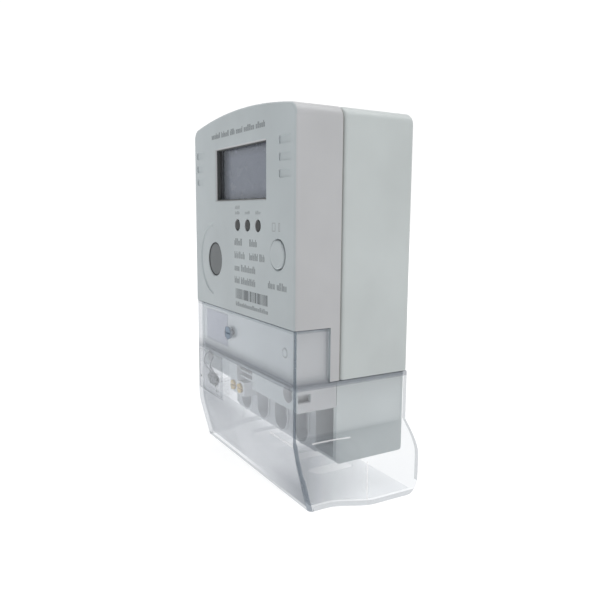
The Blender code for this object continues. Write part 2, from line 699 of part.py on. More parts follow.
def terminals():
    for i, x in enumerate(TERMINAL_XS):
        tag = str(i + 1)
        cage = boxes("terminal_cage_" + tag, BRASS, ((x - 5.4, x + 5.4), CAGE_DEPTH, CAGE_Z))
        bore = turned("bore_" + tag, None, rod(CABLE_BORE, -15.0, 12.0), (x, CABLE_DEPTH, -70.0), TO_Z, 14)
        cut(cage, bore)
        for j, z in enumerate(TERMINAL_SCREW_ZS):
            cut(cage, peg(f"cut_thread_{tag}_{j + 1}", 2.7, x, z, (30.0, 41.0), 14))
            screw(f"terminal_screw_{tag}_{'ab'[j]}", ZINC_STEEL, x, z, (30.4, 33.0, 39.6), 3.3, 2.4)


def aux_terminals():
    x_range, z_range = (-21.0, -4.0), (-61.2, FRONT_HOUSING_Z - GAP)
    block = boxes("aux_terminal_block", TERMINAL_GREY, (x_range, (5.0, 15.0), z_range))
    for i, x in enumerate(AUX_SCREW_XS):
        cut(block, peg(f"cut_aux_{i + 1}", 2.8, x, AUX_SCREW_Z, (0.0, 7.0), 14))
        cut(block, peg(f"cut_aux_deep_{i + 1}", 1.7, x, AUX_SCREW_Z, (5.0, 13.0), 16))
        screw(f"aux_screw_{i + 1}", BRASS, x, AUX_SCREW_Z, (4.0, 6.6, 11.0), 2.5, 1.4)


# ---------------------------------------------------------------- terminal cover


def front_setback(z):
    """How far the cover's front has curved back at height z."""
    drop = FRONT_CURVE_Z - z
    if drop <= 0.0:
        return 0.0
    arc_drop = FRONT_CURVE_RADIUS * math.sin(FRONT_CURVE_ANGLE)
    if drop < arc_drop:
        return FRONT_CURVE_RADIUS - math.sqrt(FRONT_CURVE_RADIUS**2 - drop**2)
    arc_back = FRONT_CURVE_RADIUS * (1 - math.cos(FRONT_CURVE_ANGLE))
    return arc_back + (drop - arc_drop) * math.tan(FRONT_CURVE_ANGLE)


def flare(depth, z):
    """How far the cover's side stands out beyond the housing's width at this depth and height."""
    fall = min(max((FLARE_TOP_Z - z) / FLARE_HEIGHT, 0.0), 1.0)
    along = min(max((depth - FLARE_START_DEPTH) / (FLARE_END_DEPTH - FLARE_START_DEPTH), 0.0), 1.0)
    swell = along * along * (3 - 2 * along)
    reach = FLARE_FRONT + (FLARE_REAR - FLARE_FRONT) * (0.86 * swell + 0.14 * min(depth / DEPTH, 1.0))
    return math.sin(fall * math.pi / 2) * reach


SIDE_DEPTHS = (10.0, 17.0, 22.0, 25.0, 28.0, 31.0, 34.0, 38.0, 48.0)


def cover_section(z, inset, rear):
    """Plan outline of the cover at height z, moved inwards by inset, closed by a straight line at rear."""
    front = front_setback(z) + inset
    corner = max(COVER_CORNER - inset, 0.3)
    half = WIDTH / 2 - inset

    def side(depth):
        return half + flare(depth, z)

    right = []
    for i in range(4):
        angle = math.radians(30.0 * i)
        x = side(front) - corner + corner * math.sin(angle)
        right.append((x, front + corner - corner * math.cos(angle)))
    right += [(side(min(d, DEPTH)), d) for d in (*SIDE_DEPTHS, rear)]
    left = [(-x, d) for x, d in reversed(right)]
    return [(x, d, z) for x, d in left + right]


def cover_levels():
    """Heights of the cover's sections: few where it is straight, close where it flares."""
    steps = 6
    levels = [COVER_TOP_Z, FRONT_CURVE_Z + 0.5]
    levels += [FLARE_TOP_Z - FLARE_HEIGHT * i / steps for i in range(steps + 1)]
    levels += [-86.0]
    return levels


def terminal_cover():
    foot_radius = 1.2
    rear_radius = 8.0
    outer = []
    for z in cover_levels():
        outer.append(cover_section(z, 0.0, DEPTH))
    low = COVER_BOTTOM_Z + rear_radius
    for i in range(5):
        angle = math.radians(18.0 * (i + 1))
        z = low - rear_radius * math.sin(angle)
        rise = z - COVER_BOTTOM_Z
        shrink = 0.0
        if rise < foot_radius:
            shrink = foot_radius - math.sqrt(foot_radius**2 - (foot_radius - rise) ** 2)
        rear = DEPTH - rear_radius * (1 - math.cos(angle))
        outer.append(cover_section(z, shrink, rear))
    cover = lofted("terminal_cover", CLEAR_COVER, outer)

    floor_z = COVER_BOTTOM_Z + COVER_WALL
    inner_levels = [COVER_TOP_Z + 5.0] + cover_levels()[1:] + [-92.0, floor_z]
    inner = [cover_section(z, COVER_WALL, DEPTH + 10.0) for z in inner_levels]
    cut(cover, lofted("cut_cover_inside", None, inner))
    above_skirt = ((-70.0, 70.0), (FLANGE_DEPTH, 80.0), (SKIRT_TOP_Z, 0.0))
    cut(cover, boxes("cut_cover_step", None, above_skirt))

    # A rib across the inside at the height of the skirt's top
    rib_z = (SKIRT_TOP_Z - 1.8, SKIRT_TOP_Z - 0.4)
    join(cover, boxes("cover_rib", None, ((-50.0, 50.0), (COVER_WALL - 0.5, BAND_DEPTH - 0.4), rib_z)))

    # Screw hole with a counterbore
    cut(
        cover,
        peg("cut_cover_head", 3.6, COVER_SCREW_X, COVER_SCREW_Z, (-2.0, 1.5), 24),
        peg("cut_cover_hole", 1.9, COVER_SCREW_X, COVER_SCREW_Z, (-2.0, 4.0), 20),
    )
    # Cable slots in the floor below the terminals
    for i, x in enumerate(TERMINAL_XS):
        slot = [(x + px, d) for px, d in arc(0.0, 34.0, 6.2, 180, 360, 10)]
        slot += [(x + px, d) for px, d in arc(0.0, 48.0, 6.2, 0, 180, 10)]
        rings = [[(px, d, z) for px, d in slot] for z in (COVER_BOTTOM_Z - 2.0, floor_z + 2.0)]
        cut(cover, lofted(f"cut_cable_slot_{i + 1}", None, rings))

    screw("cover_screw", ZINC_STEEL, COVER_SCREW_X, COVER_SCREW_Z, (0.1, 1.2, 9.0), 3.2, 1.5)
    boxes("blank_label", LABEL_LILAC, (BLANK_LABEL_X, (2.6, 3.0), BLANK_LABEL_Z))
    return cover


def wiring_label():
    """A clear film in a shallow recess in the front of the cover, low on its left side."""
    cover_recess = 0.45
    cut(
        bpy.data.objects["terminal_cover"],
        boxes(
            "cut_wiring_label",
            None,
            (
                (WIRING_LABEL_X[0] - GAP, WIRING_LABEL_X[1] + GAP),
                (-2.0, cover_recess),
                (WIRING_LABEL_Z[0] - GAP, WIRING_LABEL_Z[1] + GAP),
            ),
        ),
    )
    boxes("wiring_label", LABEL_FILM, (WIRING_LABEL_X, (0.0, 0.15), WIRING_LABEL_Z))


# ---------------------------------------------------------------- fasteners, hanger and seal


def housing_screws():
    for side, x in (("right", POST_X), ("left", -POST_X)):
        screw("housing_screw_" + side, ZINC_STEEL, x, POST_Z, (6.4, 9.1, 38.0), 3.6, 1.7)


def hanger():
    """Sliding hook at the top of the back: a plate with a keyhole, held in the slot of the base."""
    x, depths, z = (-10.0, 10.0), (58.9, 60.3), (42.0, 76.0)
    plate = boxes("hanger", ZINC_STEEL, (x, depths, z))
    cut(
        plate,
        peg("cut_keyhole", 3.6, 0.0, 66.0, (50.0, 70.0), 24),
        boxes("cut_keyhole_slot", None, ((-1.9, 1.9), (50.0, 70.0), (66.0, 72.5))),
    )


SEAL_CENTRE = (-46.6, 5.8, -61.4)


def lead_seal():
    bm = bmesh.new()
    bmesh.ops.create_uvsphere(bm, u_segments=14, v_segments=8, radius=1.0)
    size = Matrix.Diagonal((6.4, 2.7, 3.4, 1.0))
    tilt = Matrix.Rotation(math.radians(14.0), 4, "Y")
    bmesh.ops.transform(bm, matrix=Matrix.Translation(Vector(SEAL_CENTRE)) @ tilt @ size, verts=bm.verts)
    finish("lead_seal", bm, LEAD)


SEAL_WIRE_POINTS = (
    (-48.2, 5.2, -57.6),
    (-49.6, 4.6, -56.6),
    (-51.6, 3.6, -55.2),
    (-52.7, 2.9, -53.0),
    (-52.4, 2.8, -50.6),
    (-50.8, 2.8, -48.2),
    (-48.4, 3.1, -46.2),
    (-46.4, 4.2, -45.6),
    (-44.6, 4.9, -46.2),
    (-43.6, 4.7, -47.6),
    (-43.2, 3.6, -49.6),
    (-43.4, 2.8, -51.8),
    (-44.2, 3.2, -54.0),
    (-45.2, 4.6, -56.2),
    (-45.9, 5.3, -57.6),
)


def smooth_route(points, per_span):
    """Catmull-Rom curve through the points."""
    vectors = [Vector(p) for p in points]
    padded = [2 * vectors[0] - vectors[1]] + vectors + [2 * vectors[-1] - vectors[-2]]
    route = []
    for a, b, c, d in zip(padded, padded[1:], padded[2:], padded[3:]):
        for i in range(per_span):
            t = i / per_span
            square = (2 * a - 5 * b + 4 * c - d) * t**2
            cube = (3 * b - a - 3 * c + d) * t**3
            route.append(0.5 * (2 * b + (c - a) * t + square + cube))
    route.append(vectors[-1])
    return route


def seal_wire():
    """Twisted seal wire, looped through the left screw post and crimped in the seal at both ends."""
    curve = bpy.data.curves.new("seal_wire", "CURVE")
    curve.dimensions = "3D"
    curve.bevel_depth = 0.32 * MM
    curve.bevel_resolution = 1
    curve.use_fill_caps = True
    route = smooth_route(SEAL_WIRE_POINTS, 2)
    spline = curve.splines.new("POLY")
    spline.points.add(len(route) - 1)
    for point, place in zip(spline.points, route):
        point.co = (place.x * MM, (place.y - DEPTH) * MM, place.z * MM, 1.0)
    curve.materials.append(material(*ZINC_STEEL))
    made = bpy.data.objects.new("seal_wire", curve)
    bpy.context.scene.collection.objects.link(made)


def main():
    clear_scene()
    front_housing()
    rear_base()
    housing_gasket()
    display()
    led_lenses()
    optical_port()
    push_button()
    cover_switch()
    circuit_board()
    board_parts()
    relay()
    busbars()
    terminal_block()
    terminals()
    aux_terminals()
    terminal_cover()
    wiring_label()
    housing_screws()
    hanger()
    lead_seal()
    seal_wire()


main()
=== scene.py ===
import json
import math
import random

import bmesh
import bpy
from mathutils import Matrix, Vector


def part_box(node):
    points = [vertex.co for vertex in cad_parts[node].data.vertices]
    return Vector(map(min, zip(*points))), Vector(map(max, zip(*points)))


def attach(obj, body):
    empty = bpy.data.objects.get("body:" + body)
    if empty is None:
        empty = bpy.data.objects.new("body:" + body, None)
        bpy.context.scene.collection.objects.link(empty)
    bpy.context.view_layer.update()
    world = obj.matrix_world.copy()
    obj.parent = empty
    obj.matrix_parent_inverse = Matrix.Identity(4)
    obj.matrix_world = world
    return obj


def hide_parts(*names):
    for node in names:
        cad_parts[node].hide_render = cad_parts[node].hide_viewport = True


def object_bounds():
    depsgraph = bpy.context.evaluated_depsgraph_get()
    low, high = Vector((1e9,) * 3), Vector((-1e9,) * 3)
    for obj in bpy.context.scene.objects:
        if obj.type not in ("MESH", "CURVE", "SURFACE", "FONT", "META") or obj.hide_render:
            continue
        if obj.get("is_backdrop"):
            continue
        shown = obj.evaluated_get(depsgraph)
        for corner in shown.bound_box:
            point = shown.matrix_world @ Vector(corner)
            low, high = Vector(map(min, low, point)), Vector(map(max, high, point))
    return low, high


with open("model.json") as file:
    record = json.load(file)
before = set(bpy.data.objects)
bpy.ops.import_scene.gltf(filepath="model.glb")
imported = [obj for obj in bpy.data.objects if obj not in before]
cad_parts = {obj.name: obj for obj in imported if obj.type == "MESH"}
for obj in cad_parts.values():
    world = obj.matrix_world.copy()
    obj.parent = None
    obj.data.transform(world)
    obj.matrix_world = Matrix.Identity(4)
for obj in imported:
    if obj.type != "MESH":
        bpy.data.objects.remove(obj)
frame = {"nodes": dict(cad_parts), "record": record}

CAD_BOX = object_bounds()

# Lengths are millimetres, but for the ones marked as metres. Places on the meter are (x, depth, z), with
# depth measured back from the front face.
MM = 0.001
FRONT_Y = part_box("front_housing")[0][1]
GAP = 0.3


def node_range(node, axis):
    """Lowest and highest value of a CAD node along axis 0, 1 (depth) or 2, in millimetres."""
    low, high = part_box(node)
    offset = FRONT_Y if axis == 1 else 0.0
    return (low[axis] - offset) / MM, (high[axis] - offset) / MM


def node_centre(node, axis):
    low, high = node_range(node, axis)
    return (low + high) / 2


def node_spot(node):
    """Centre of a CAD node in front view, as (x, z)."""
    return node_centre(node, 0), node_centre(node, 2)


def widen(span, amount):
    """The range with each end moved outwards by amount."""
    return span[0] - amount, span[1] + amount


def clamp(value):
    return min(max(value, 0.0), 1.0)


# Housing
DEPTH = node_range("rear_base", 1)[1]
HALF_WIDTH = node_range("rear_base", 0)[1]
BASE_Z, CROWN_Z = node_range("rear_base", 2)
ARCH_RADIUS = 335.0
TOP_CORNER = 5.5
BOTTOM_CORNER = 2.5
SEAM_DEPTH = node_range("rear_base", 1)[0]
FRONT_FILLET = 1.4
SEAM_FILLET = 2.2
REAR_FILLET = 1.5
WALL = 2.2
RIM_INSET = 5.0
RIM_HEIGHT = 4.3
FRONT_HOUSING_Z = node_range("front_housing", 2)[0]
SOFT_EDGE = 0.22

# Recess for the terminal cover
COVER_BOTTOM_Z, COVER_TOP_Z = node_range("terminal_cover", 2)
SKIRT_TOP_Z = -40.8
PANEL_DEPTH = 2.8
BAND_DEPTH = 3.4
RECESS_HALF = 53.3
FLANGE_DEPTH = 18.0

# Clear cover
COVER_WALL = 2.2
COVER_CORNER = 2.5
FRONT_CURVE_Z = -64.0
FRONT_CURVE_RADIUS = 60.0
FRONT_CURVE_ANGLE = math.radians(15.0)
FLARE_TOP_Z = -64.5
FLARE_HEIGHT = 15.0
FLARE_REAR = node_range("terminal_cover", 0)[1] - HALF_WIDTH
FLARE_FRONT = 1.8
FLARE_START_DEPTH = 17.0
FLARE_END_DEPTH = 38.0

# Front face
LCD_LIP = 3.0
LCD_X, LCD_Z = (widen(node_range("lcd_window", axis), -LCD_LIP) for axis in (0, 2))
LED_XS = tuple(node_centre(f"led_lens_{i}", 0) for i in (1, 2, 3))
LED_Z = node_centre("led_lens_1", 2)
PORT = node_spot("optical_window")
PORT_GROOVE = 18.4
BUTTON = node_spot("push_button")
GRIP_X = (42.1, 52.0)
GRIP_ZS = (63.6, 56.6, 49.6)
COVER_SCREW = node_spot("cover_screw")
PLUNGER = node_spot("cover_switch_plunger")
POST_X, POST_Z = node_spot("housing_screw_right")
BLANK_X, BLANK_Z = (node_range("blank_label", axis) for axis in (0, 2))
FILM_X, FILM_Z = (node_range("wiring_label", axis) for axis in (0, 2))

# Terminals
BLOCK_X = node_range("terminal_block", 0)
BLOCK_DEPTH = (24.0, node_range("terminal_block", 1)[1])
BLOCK_TOP = node_range("terminal_block", 2)[1]
TERMINAL_XS = tuple(node_centre(f"terminal_cage_{i}", 0) for i in (1, 2, 3, 4))
TERMINAL_SCREW_ZS = tuple(node_centre(f"terminal_screw_1_{tag}", 2) for tag in "ab")


# ---------------- materials


# Width of the painted highlight along sharp edges
EDGE_HIGHLIGHT_WIDTH = 0.00035  # metres
# Colour of the painted shade in the clear cover
SHADE_BAND_TINT = (0.25, 0.27, 0.3)
HAZE = 0.07


class Shader:
    """A material's node tree with short calls for the nodes used here."""

    def __init__(self, name):
        self.material = bpy.data.materials.new(name)
        self.material.use_nodes = True
        self.tree = self.material.node_tree
        self.principled = self.tree.nodes["Principled BSDF"]
        self.output = self.tree.nodes["Material Output"]
        self.place = self.add("ShaderNodeTexCoord").outputs["Object"]

    def add(self, kind, **settings):
        node = self.tree.nodes.new(kind)
        for key, value in settings.items():
            setattr(node, key, value)
        return node

    def link(self, start, end):
        self.tree.links.new(start, end)

    def noise(self, scale, detail=2.0, stretch=None):
        node = self.add("ShaderNodeTexNoise")
        node.inputs["Scale"].default_value = scale
        node.inputs["Detail"].default_value = detail
        place = self.place
        if stretch:
            mapping = self.add("ShaderNodeMapping")
            mapping.inputs["Scale"].default_value = stretch
            self.link(place, mapping.inputs["Vector"])
            place = mapping.outputs["Vector"]
        self.link(place, node.inputs["Vector"])
        return node.outputs["Fac"]

    def remap(self, value, low, high, out_low=0.0, out_high=1.0):
        node = self.add("ShaderNodeMapRange")
        ends = {"From Min": low, "From Max": high, "To Min": out_low, "To Max": out_high}
        for name, number in ends.items():
            node.inputs[name].default_value = number
        self.link(value, node.inputs["Value"])
        return node.outputs["Result"]

    def ramp(self, axis, start, end, out_start=0.0, out_end=1.0):
        """Runs from one value to another between two places along an axis."""
        spot = self.add("ShaderNodeSeparateXYZ")
        self.link(self.place, spot.inputs[0])
        return self.remap(spot.outputs[axis], start * MM, end * MM, out_start, out_end)

    def maths(self, operation, *values, **settings):
        """A maths node; each value is a number or another node's output."""
        node = self.add("ShaderNodeMath", operation=operation, **settings)
        for socket, value in zip(node.inputs, values):
            if isinstance(value, float):
                socket.default_value = value
            else:
                self.link(value, socket)
        return node.outputs[0]

    def blend(self, factor, first, second):
        """Mixes two colours; each is a colour or another node's output."""
        node = self.add("ShaderNodeMix", data_type="RGBA")
        self.link(factor, node.inputs["Factor"])
        for socket, colour in (("A", first), ("B", second)):
            target = [i for i in node.inputs if i.name == socket and i.type == "RGBA"][0]
            if isinstance(colour, tuple):
                target.default_value = (*colour, 1.0)
            else:
                self.link(colour, target)
        return [o for o in node.outputs if o.type == "RGBA"][0]

    def clouded(self, colour, scale, darker, lighter):
        """The colour in soft clouds between two brightnesses."""
        cloud = self.remap(self.noise(scale, 3.0), 0.3, 0.7)
        return self.blend(cloud, shade(colour, darker), shade(colour, lighter))

    def bump(self, height, strength, distance):
        node = self.add("ShaderNodeBump")
        node.inputs["Strength"].default_value = strength
        node.inputs["Distance"].default_value = distance
        self.link(height, node.inputs["Height"])
        self.link(node.outputs["Normal"], self.principled.inputs["Normal"])

    def edge_highlight_mask(self):
        """Where the painted edge highlight goes: 1 along sharp edges, 0 on flat faces, broken up by noise.
        """
        rounded = self.add("ShaderNodeBevel", samples=4)
        rounded.inputs["Radius"].default_value = EDGE_HIGHLIGHT_WIDTH
        turn = self.add("ShaderNodeVectorMath", operation="DOT_PRODUCT")
        self.link(rounded.outputs["Normal"], turn.inputs[0])
        self.link(self.add("ShaderNodeNewGeometry").outputs["Normal"], turn.inputs[1])
        edge = self.remap(turn.outputs["Value"], 0.99, 0.85)
        patchy = self.remap(self.noise(400.0, 3.0), 0.35, 0.6, 0.2, 1.0)
        return self.maths("MULTIPLY", edge, patchy)

    def set(self, socket, value):
        """Gives one of the shader's own sockets a number, a colour or another node's output."""
        target = self.principled.inputs[socket]
        if isinstance(value, float):
            target.default_value = value
        elif isinstance(value, tuple):
            target.default_value = (*value, 1.0)
        else:
            self.link(value, target)


def shade(colour, factor):
    return tuple(min(channel * factor, 1.0) for channel in colour)


def moulded(
    name, colour, roughness=0.42, grain=2200.0, depth=0.00002,
    mottle=0.05, edge_highlight=0.35, coat=0.0, sheen=0.5, shade_fades=(),
):
    """Injection-moulded plastic: fine grain, faint mottling and a painted highlight along its edges.

    Each of the shade fades is painted shade, (axis, from, to, factor): factor darkens the colour at from and
    fades out towards to. The grain's depth is in metres.
    """
    made = Shader(name)
    tone = made.clouded(colour, 28.0, 1 - mottle, 1 + mottle)
    specks = made.remap(made.noise(900.0, 2.0), 0.7, 0.78, 0.0, 0.25)
    tone = made.blend(specks, tone, shade(colour, 0.86))
    # Painted shade: each fade darkens the colour towards one end
    for axis, start, end, factor in shade_fades:
        tone = made.blend(made.ramp(axis, start, end, 1.0, 0.0), tone, shade(colour, factor))
    # Painted highlight: the colour is lighter along the edges
    edge_light = made.remap(made.edge_highlight_mask(), 0.0, 1.0, 0.0, edge_highlight)
    made.set("Base Color", made.blend(edge_light, tone, shade(colour, 1.12)))
    patches = made.noise(140.0, 4.0)
    made.set("Roughness", made.remap(patches, 0.25, 0.75, roughness - 0.05, roughness + 0.06))
    made.set("Coat Weight", coat)
    made.set("Specular IOR Level", sheen)
    made.bump(made.noise(grain, 3.0), 0.35, depth)
    return made.material


def metal(name, colour, roughness=0.3, stretch=(1.0, 1.0, 1.0), tarnish=0.2):
    """Bare or plated metal with drawn or turned marks and some tarnish."""
    made = Shader(name)
    cloud = made.remap(made.noise(220.0, 4.0), 0.35, 0.7)
    tone = made.blend(cloud, colour, shade(colour, 1 - tarnish))
    # Painted highlight: the metal's colour is lighter along sharp edges
    made.set("Base Color", made.blend(made.edge_highlight_mask(), tone, shade(colour, 1.15)))
    made.set("Metallic", 1.0)
    marks = made.noise(1600.0, 3.0, stretch)
    made.set("Roughness", made.remap(marks, 0.2, 0.8, roughness - 0.1, roughness + 0.15))
    made.bump(marks, 0.4, 0.00002)
    return made.material


def clear(name, colour, tint, facing=0.05, edge_on=0.95, mirror=0.7, shade_bands=()):
    """See-through plastic: it mirrors more the flatter it is looked along, like a sheet of polycarbonate.

    Each of the shade bands is painted shade: a density and two ramps, (axis, from, to), which run from 0 to
    1 and are multiplied.
    """
    made = Shader(name)
    tone = made.clouded(colour, 45.0, 0.96, 1.03)
    weight = made.add("ShaderNodeLayerWeight")
    weight.inputs["Blend"].default_value = 0.5
    curve = made.maths("POWER", weight.outputs["Facing"], 3.6)
    opacity = made.remap(curve, 0.0, 1.0, facing, edge_on)
    # Painted shade: darker, denser bands in the clear plastic
    for density, first, second in shade_bands:
        shade_weight = made.maths("MULTIPLY", made.ramp(*first), made.ramp(*second))
        tone = made.blend(shade_weight, tone, SHADE_BAND_TINT)
        opacity = made.maths("MULTIPLY_ADD", shade_weight, density, opacity, use_clamp=True)
    made.set("Base Color", tone)
    made.set("Metallic", mirror)
    made.set("Roughness", made.remap(made.noise(160.0, 4.0), 0.3, 0.75, HAZE * 0.7, HAZE * 1.6))
    made.bump(made.noise(60.0, 2.0), 0.08, 0.0004)
    through = made.add("ShaderNodeBsdfTransparent")
    through.inputs["Color"].default_value = (*tint, 1.0)
    mix = made.add("ShaderNodeMixShader")
    made.link(opacity, mix.inputs[0])
    made.link(through.outputs[0], mix.inputs[1])
    made.link(made.principled.outputs[0], mix.inputs[2])
    made.link(mix.outputs[0], made.output.inputs["Surface"])
    return made.material


# Painted shade in the clear cover: denser, darker bands, as clear() takes them
LEDGE_SHADE = (0.26, ("Z", SKIRT_TOP_Z + 5.5, SKIRT_TOP_Z), ("Z", SKIRT_TOP_Z - 0.65, SKIRT_TOP_Z - 0.6))
LEDGE_SHADE_LINE = (
    0.42, ("Z", SKIRT_TOP_Z - 0.2, SKIRT_TOP_Z - 0.8), ("Z", SKIRT_TOP_Z - 2.25, SKIRT_TOP_Z - 2.2),
)
LOW_FRONT_SHADE = (1.4, ("Z", -60.0, -88.0), ("X", -12.0, 56.0))
LOW_SIDE_SHADE = (0.36, ("Z", -60.0, -70.0), ("Y", 34.0 - DEPTH, 6.0 - DEPTH))

# Painted shade on the display: darker below the housing's edge, at its top and left
LCD_PAINTED_SHADE = (("Z", LCD_Z[1], LCD_Z[1] - 5.0, 0.62), ("X", LCD_X[0], LCD_X[0] + 7.0, 0.45))

# Colour, roughness, grain, its depth, mottle, painted edge highlight, coat, sheen and painted shade fades
MOULDED = {
    "housing_white": ((0.535, 0.54, 0.552), 0.38),
    "base_white": ((0.59, 0.632, 0.63), 0.38),
    # The front face's copy of the housing plastic, darker and cooler: painted shade of the front face
    "face_white": ((0.478, 0.517, 0.533), 0.4),
    "white_plastic": ((0.78, 0.78, 0.77), 0.4),
    # Painted shade for the seam's chamfer, the shade in the joint
    "seam_grey": ((0.24, 0.235, 0.22), 0.7),
    "lcd_grey": ((0.26, 0.275, 0.31), 0.25, 3000.0, 0.000002, 0.03, 0.0, 0.1, 0.25, LCD_PAINTED_SHADE),
    "lens_grey": ((0.012, 0.015, 0.016), 0.3, 1200.0, 0.00001, 0.05, 0.1, 0.1, 0.15),
    "port_grey": ((0.088, 0.1, 0.107), 0.35, 1800.0, 0.00001, 0.06, 0.2, 0.1, 0.3),
    "terminal_grey": ((0.63, 0.65, 0.67), 0.5, 1500.0, 0.00003, 0.07, 0.4),
    "seal_rubber": ((0.04, 0.04, 0.043), 0.7, 1000.0, 0.00004, 0.15, 0.2),
    "board_green": ((0.02, 0.16, 0.06), 0.4, 700.0, 0.00003, 0.25, 0.4, 0.3),
    "component_black": ((0.03, 0.031, 0.034), 0.42, 1700.0, 0.00002, 0.12, 0.3),
    "component_yellow": ((0.72, 0.55, 0.1), 0.4, 1500.0, 0.00002, 0.08, 0.3),
    "component_blue": ((0.05, 0.13, 0.42), 0.3, 300.0, 0.00006, 0.1, 0.2, 0.3),
    "battery_sleeve": ((0.1, 0.38, 0.26), 0.3, 260.0, 0.00005, 0.08, 0.2, 0.4),
    "label_lilac": ((0.235, 0.255, 0.335), 0.5, 1300.0, 0.000015, 0.05, 0.1),
    "print_grey": ((0.11, 0.12, 0.13), 0.55, 1500.0, 0.00001, 0.12, 0.0),
    "print_pale": ((0.33, 0.35, 0.36), 0.55, 1500.0, 0.00001, 0.08, 0.0),
    # Painted shade in the display's and the port's recesses
    "liner_dark": ((0.07, 0.075, 0.075), 0.6, 1500.0, 0.00002, 0.15, 0.1),
}

# Colour, roughness, stretch of the marks and tarnish
METALS = {
    "brass": ((0.55, 0.37, 0.06), 0.3, (1.0, 1.0, 6.0), 0.35),
    "copper": ((0.82, 0.45, 0.3), 0.32, (6.0, 1.0, 1.0), 0.35),
    "zinc_steel": ((0.6, 0.61, 0.63), 0.32, (1.0, 1.0, 5.0), 0.25),
    "blued_steel": ((0.2, 0.25, 0.31), 0.4),
    "wire_grey": ((0.1, 0.105, 0.11), 0.5),
    "lead": ((0.09, 0.095, 0.1), 0.55, (1.0, 1.0, 1.0), 0.4),
}

# Colour, tint, opacity seen face on and edge on, mirror and painted shade bands
CLEAR = {
    "clear_cover": ((0.88, 0.9, 0.93), (0.982, 0.986, 0.989), 0.1, 0.95, 0.7, (LEDGE_SHADE, LEDGE_SHADE_LINE)),
    # Painted shade: darker, denser edges of the clear wall
    "cover_edge": ((0.15, 0.18, 0.215), (0.75, 0.79, 0.84), 0.66, 0.9, 0.1),
    "cover_band": ((0.42, 0.455, 0.49), (0.92, 0.935, 0.95), 0.15, 0.8, 0.3),
    "cover_front": ((0.84, 0.86, 0.9), (0.965, 0.97, 0.98), 0.05, 0.95, 0.7, (LEDGE_SHADE, LEDGE_SHADE_LINE, LOW_FRONT_SHADE)),
    "cover_low": ((0.6, 0.63, 0.66), (0.955, 0.96, 0.966), 0.07, 0.9, 0.4, (LOW_SIDE_SHADE,)),
    "cover_floor": ((0.56, 0.59, 0.62), (0.965, 0.97, 0.975), 0.04, 0.15, 0.4),
    # Painted highlight: nearly white, dense lines in the clear wall
    "cover_crease": ((0.98, 0.98, 0.99), (0.97, 0.97, 0.98), 0.6, 0.9, 0.3),
    "cover_rim": ((0.32, 0.35, 0.38), (0.9, 0.91, 0.925), 0.38, 0.7, 0.0),
    "window_clear": ((0.8, 0.82, 0.86), (0.9, 0.91, 0.93), 0.02, 0.4),
    "label_film": ((0.7, 0.71, 0.73), (0.97, 0.973, 0.977), 0.08, 0.3, 0.2),
}

LIBRARY = {}
for make, kinds in ((moulded, MOULDED), (metal, METALS), (clear, CLEAR)):
    for kind, settings in kinds.items():
        LIBRARY[kind] = make(kind, *settings)

# CAD nodes whose finish isn't the one that their slot is named after
# The button and plunger share the front face's painted shade
FINISHES = {"cover_screw": "blued_steel", "push_button": "face_white", "cover_switch_plunger": "face_white"}


def paint_frame():
    slots = {part["node"]: part["material_slot"] for part in frame["record"]["subparts"]}
    for name, node in frame["nodes"].items():
        node.data.materials.clear()
        node.data.materials.append(LIBRARY[FINISHES.get(name, slots[name])])


# ---------------- mesh tools


def to_object(name, bm):
    """Turns a bmesh in (x, depth, z) millimetres into an object."""
    bmesh.ops.remove_doubles(bm, verts=bm.verts, dist=1e-5)
    bmesh.ops.recalc_face_normals(bm, faces=bm.faces)
    place = Matrix.Translation((0.0, FRONT_Y, 0.0)) @ Matrix.Scale(MM, 4)
    bmesh.ops.transform(bm, matrix=place, verts=bm.verts)
    mesh = bpy.data.meshes.new(name)
    bm.to_mesh(mesh)
    bm.free()
    made = bpy.data.objects.new(name, mesh)
    bpy.context.scene.collection.objects.link(made)
    return made


def add_box(bm, x, depth, z):
    centre = Vector(((x[0] + x[1]) / 2, (depth[0] + depth[1]) / 2, (z[0] + z[1]) / 2))
    size = (x[1] - x[0], depth[1] - depth[0], z[1] - z[0])
    bmesh.ops.create_cube(bm, size=1.0, matrix=Matrix.Translation(centre) @ Matrix.Diagonal((*size, 1.0)))


def cuboid(x, depth, z, name="tool"):
    bm = bmesh.new()
    add_box(bm, x, depth, z)
    return to_object(name, bm)


def add_strip(bm, lower, upper):
    """Faces between two closed rows of vertices."""
    for i in range(len(lower)):
        j = (i + 1) % len(lower)
        bm.faces.new((lower[i], lower[j], upper[j], upper[i]))


def lofted(rings, name="tool"):
    """Closed solid through rings of equal length, capped at both ends."""
    bm = bmesh.new()
    rows = [[bm.verts.new(point) for point in points] for points in rings]
    for lower, upper in zip(rows, rows[1:]):
        add_strip(bm, lower, upper)
    bm.faces.new(rows[0])
    bm.faces.new(rows[-1])
    return to_object(name, bm)


def arc(cx, cz, radius, start, end, steps):
    points = []
    for i in range(steps + 1):
        angle = math.radians(start + (end - start) * i / steps)
        points.append((cx + radius * math.cos(angle), cz + radius * math.sin(angle)))
    return points


def circle(cx, cz, radius, segments):
    return arc(cx, cz, radius, 0, 360 - 360 / segments, segments - 1)


def ring(outline, depth):
    return [(x, depth, z) for x, z in outline]


def rectangle(x, z, depth):
    return [(x[0], depth, z[0]), (x[1], depth, z[0]), (x[1], depth, z[1]), (x[0], depth, z[1])]


def prism(outline, depths):
    return lofted([ring(outline, depth) for depth in depths])


def peg(radius, x, z, depths, segments=40):
    """A plain cylinder along the depth axis, for bosses and holes."""
    return prism(circle(x, z, radius, segments), depths)


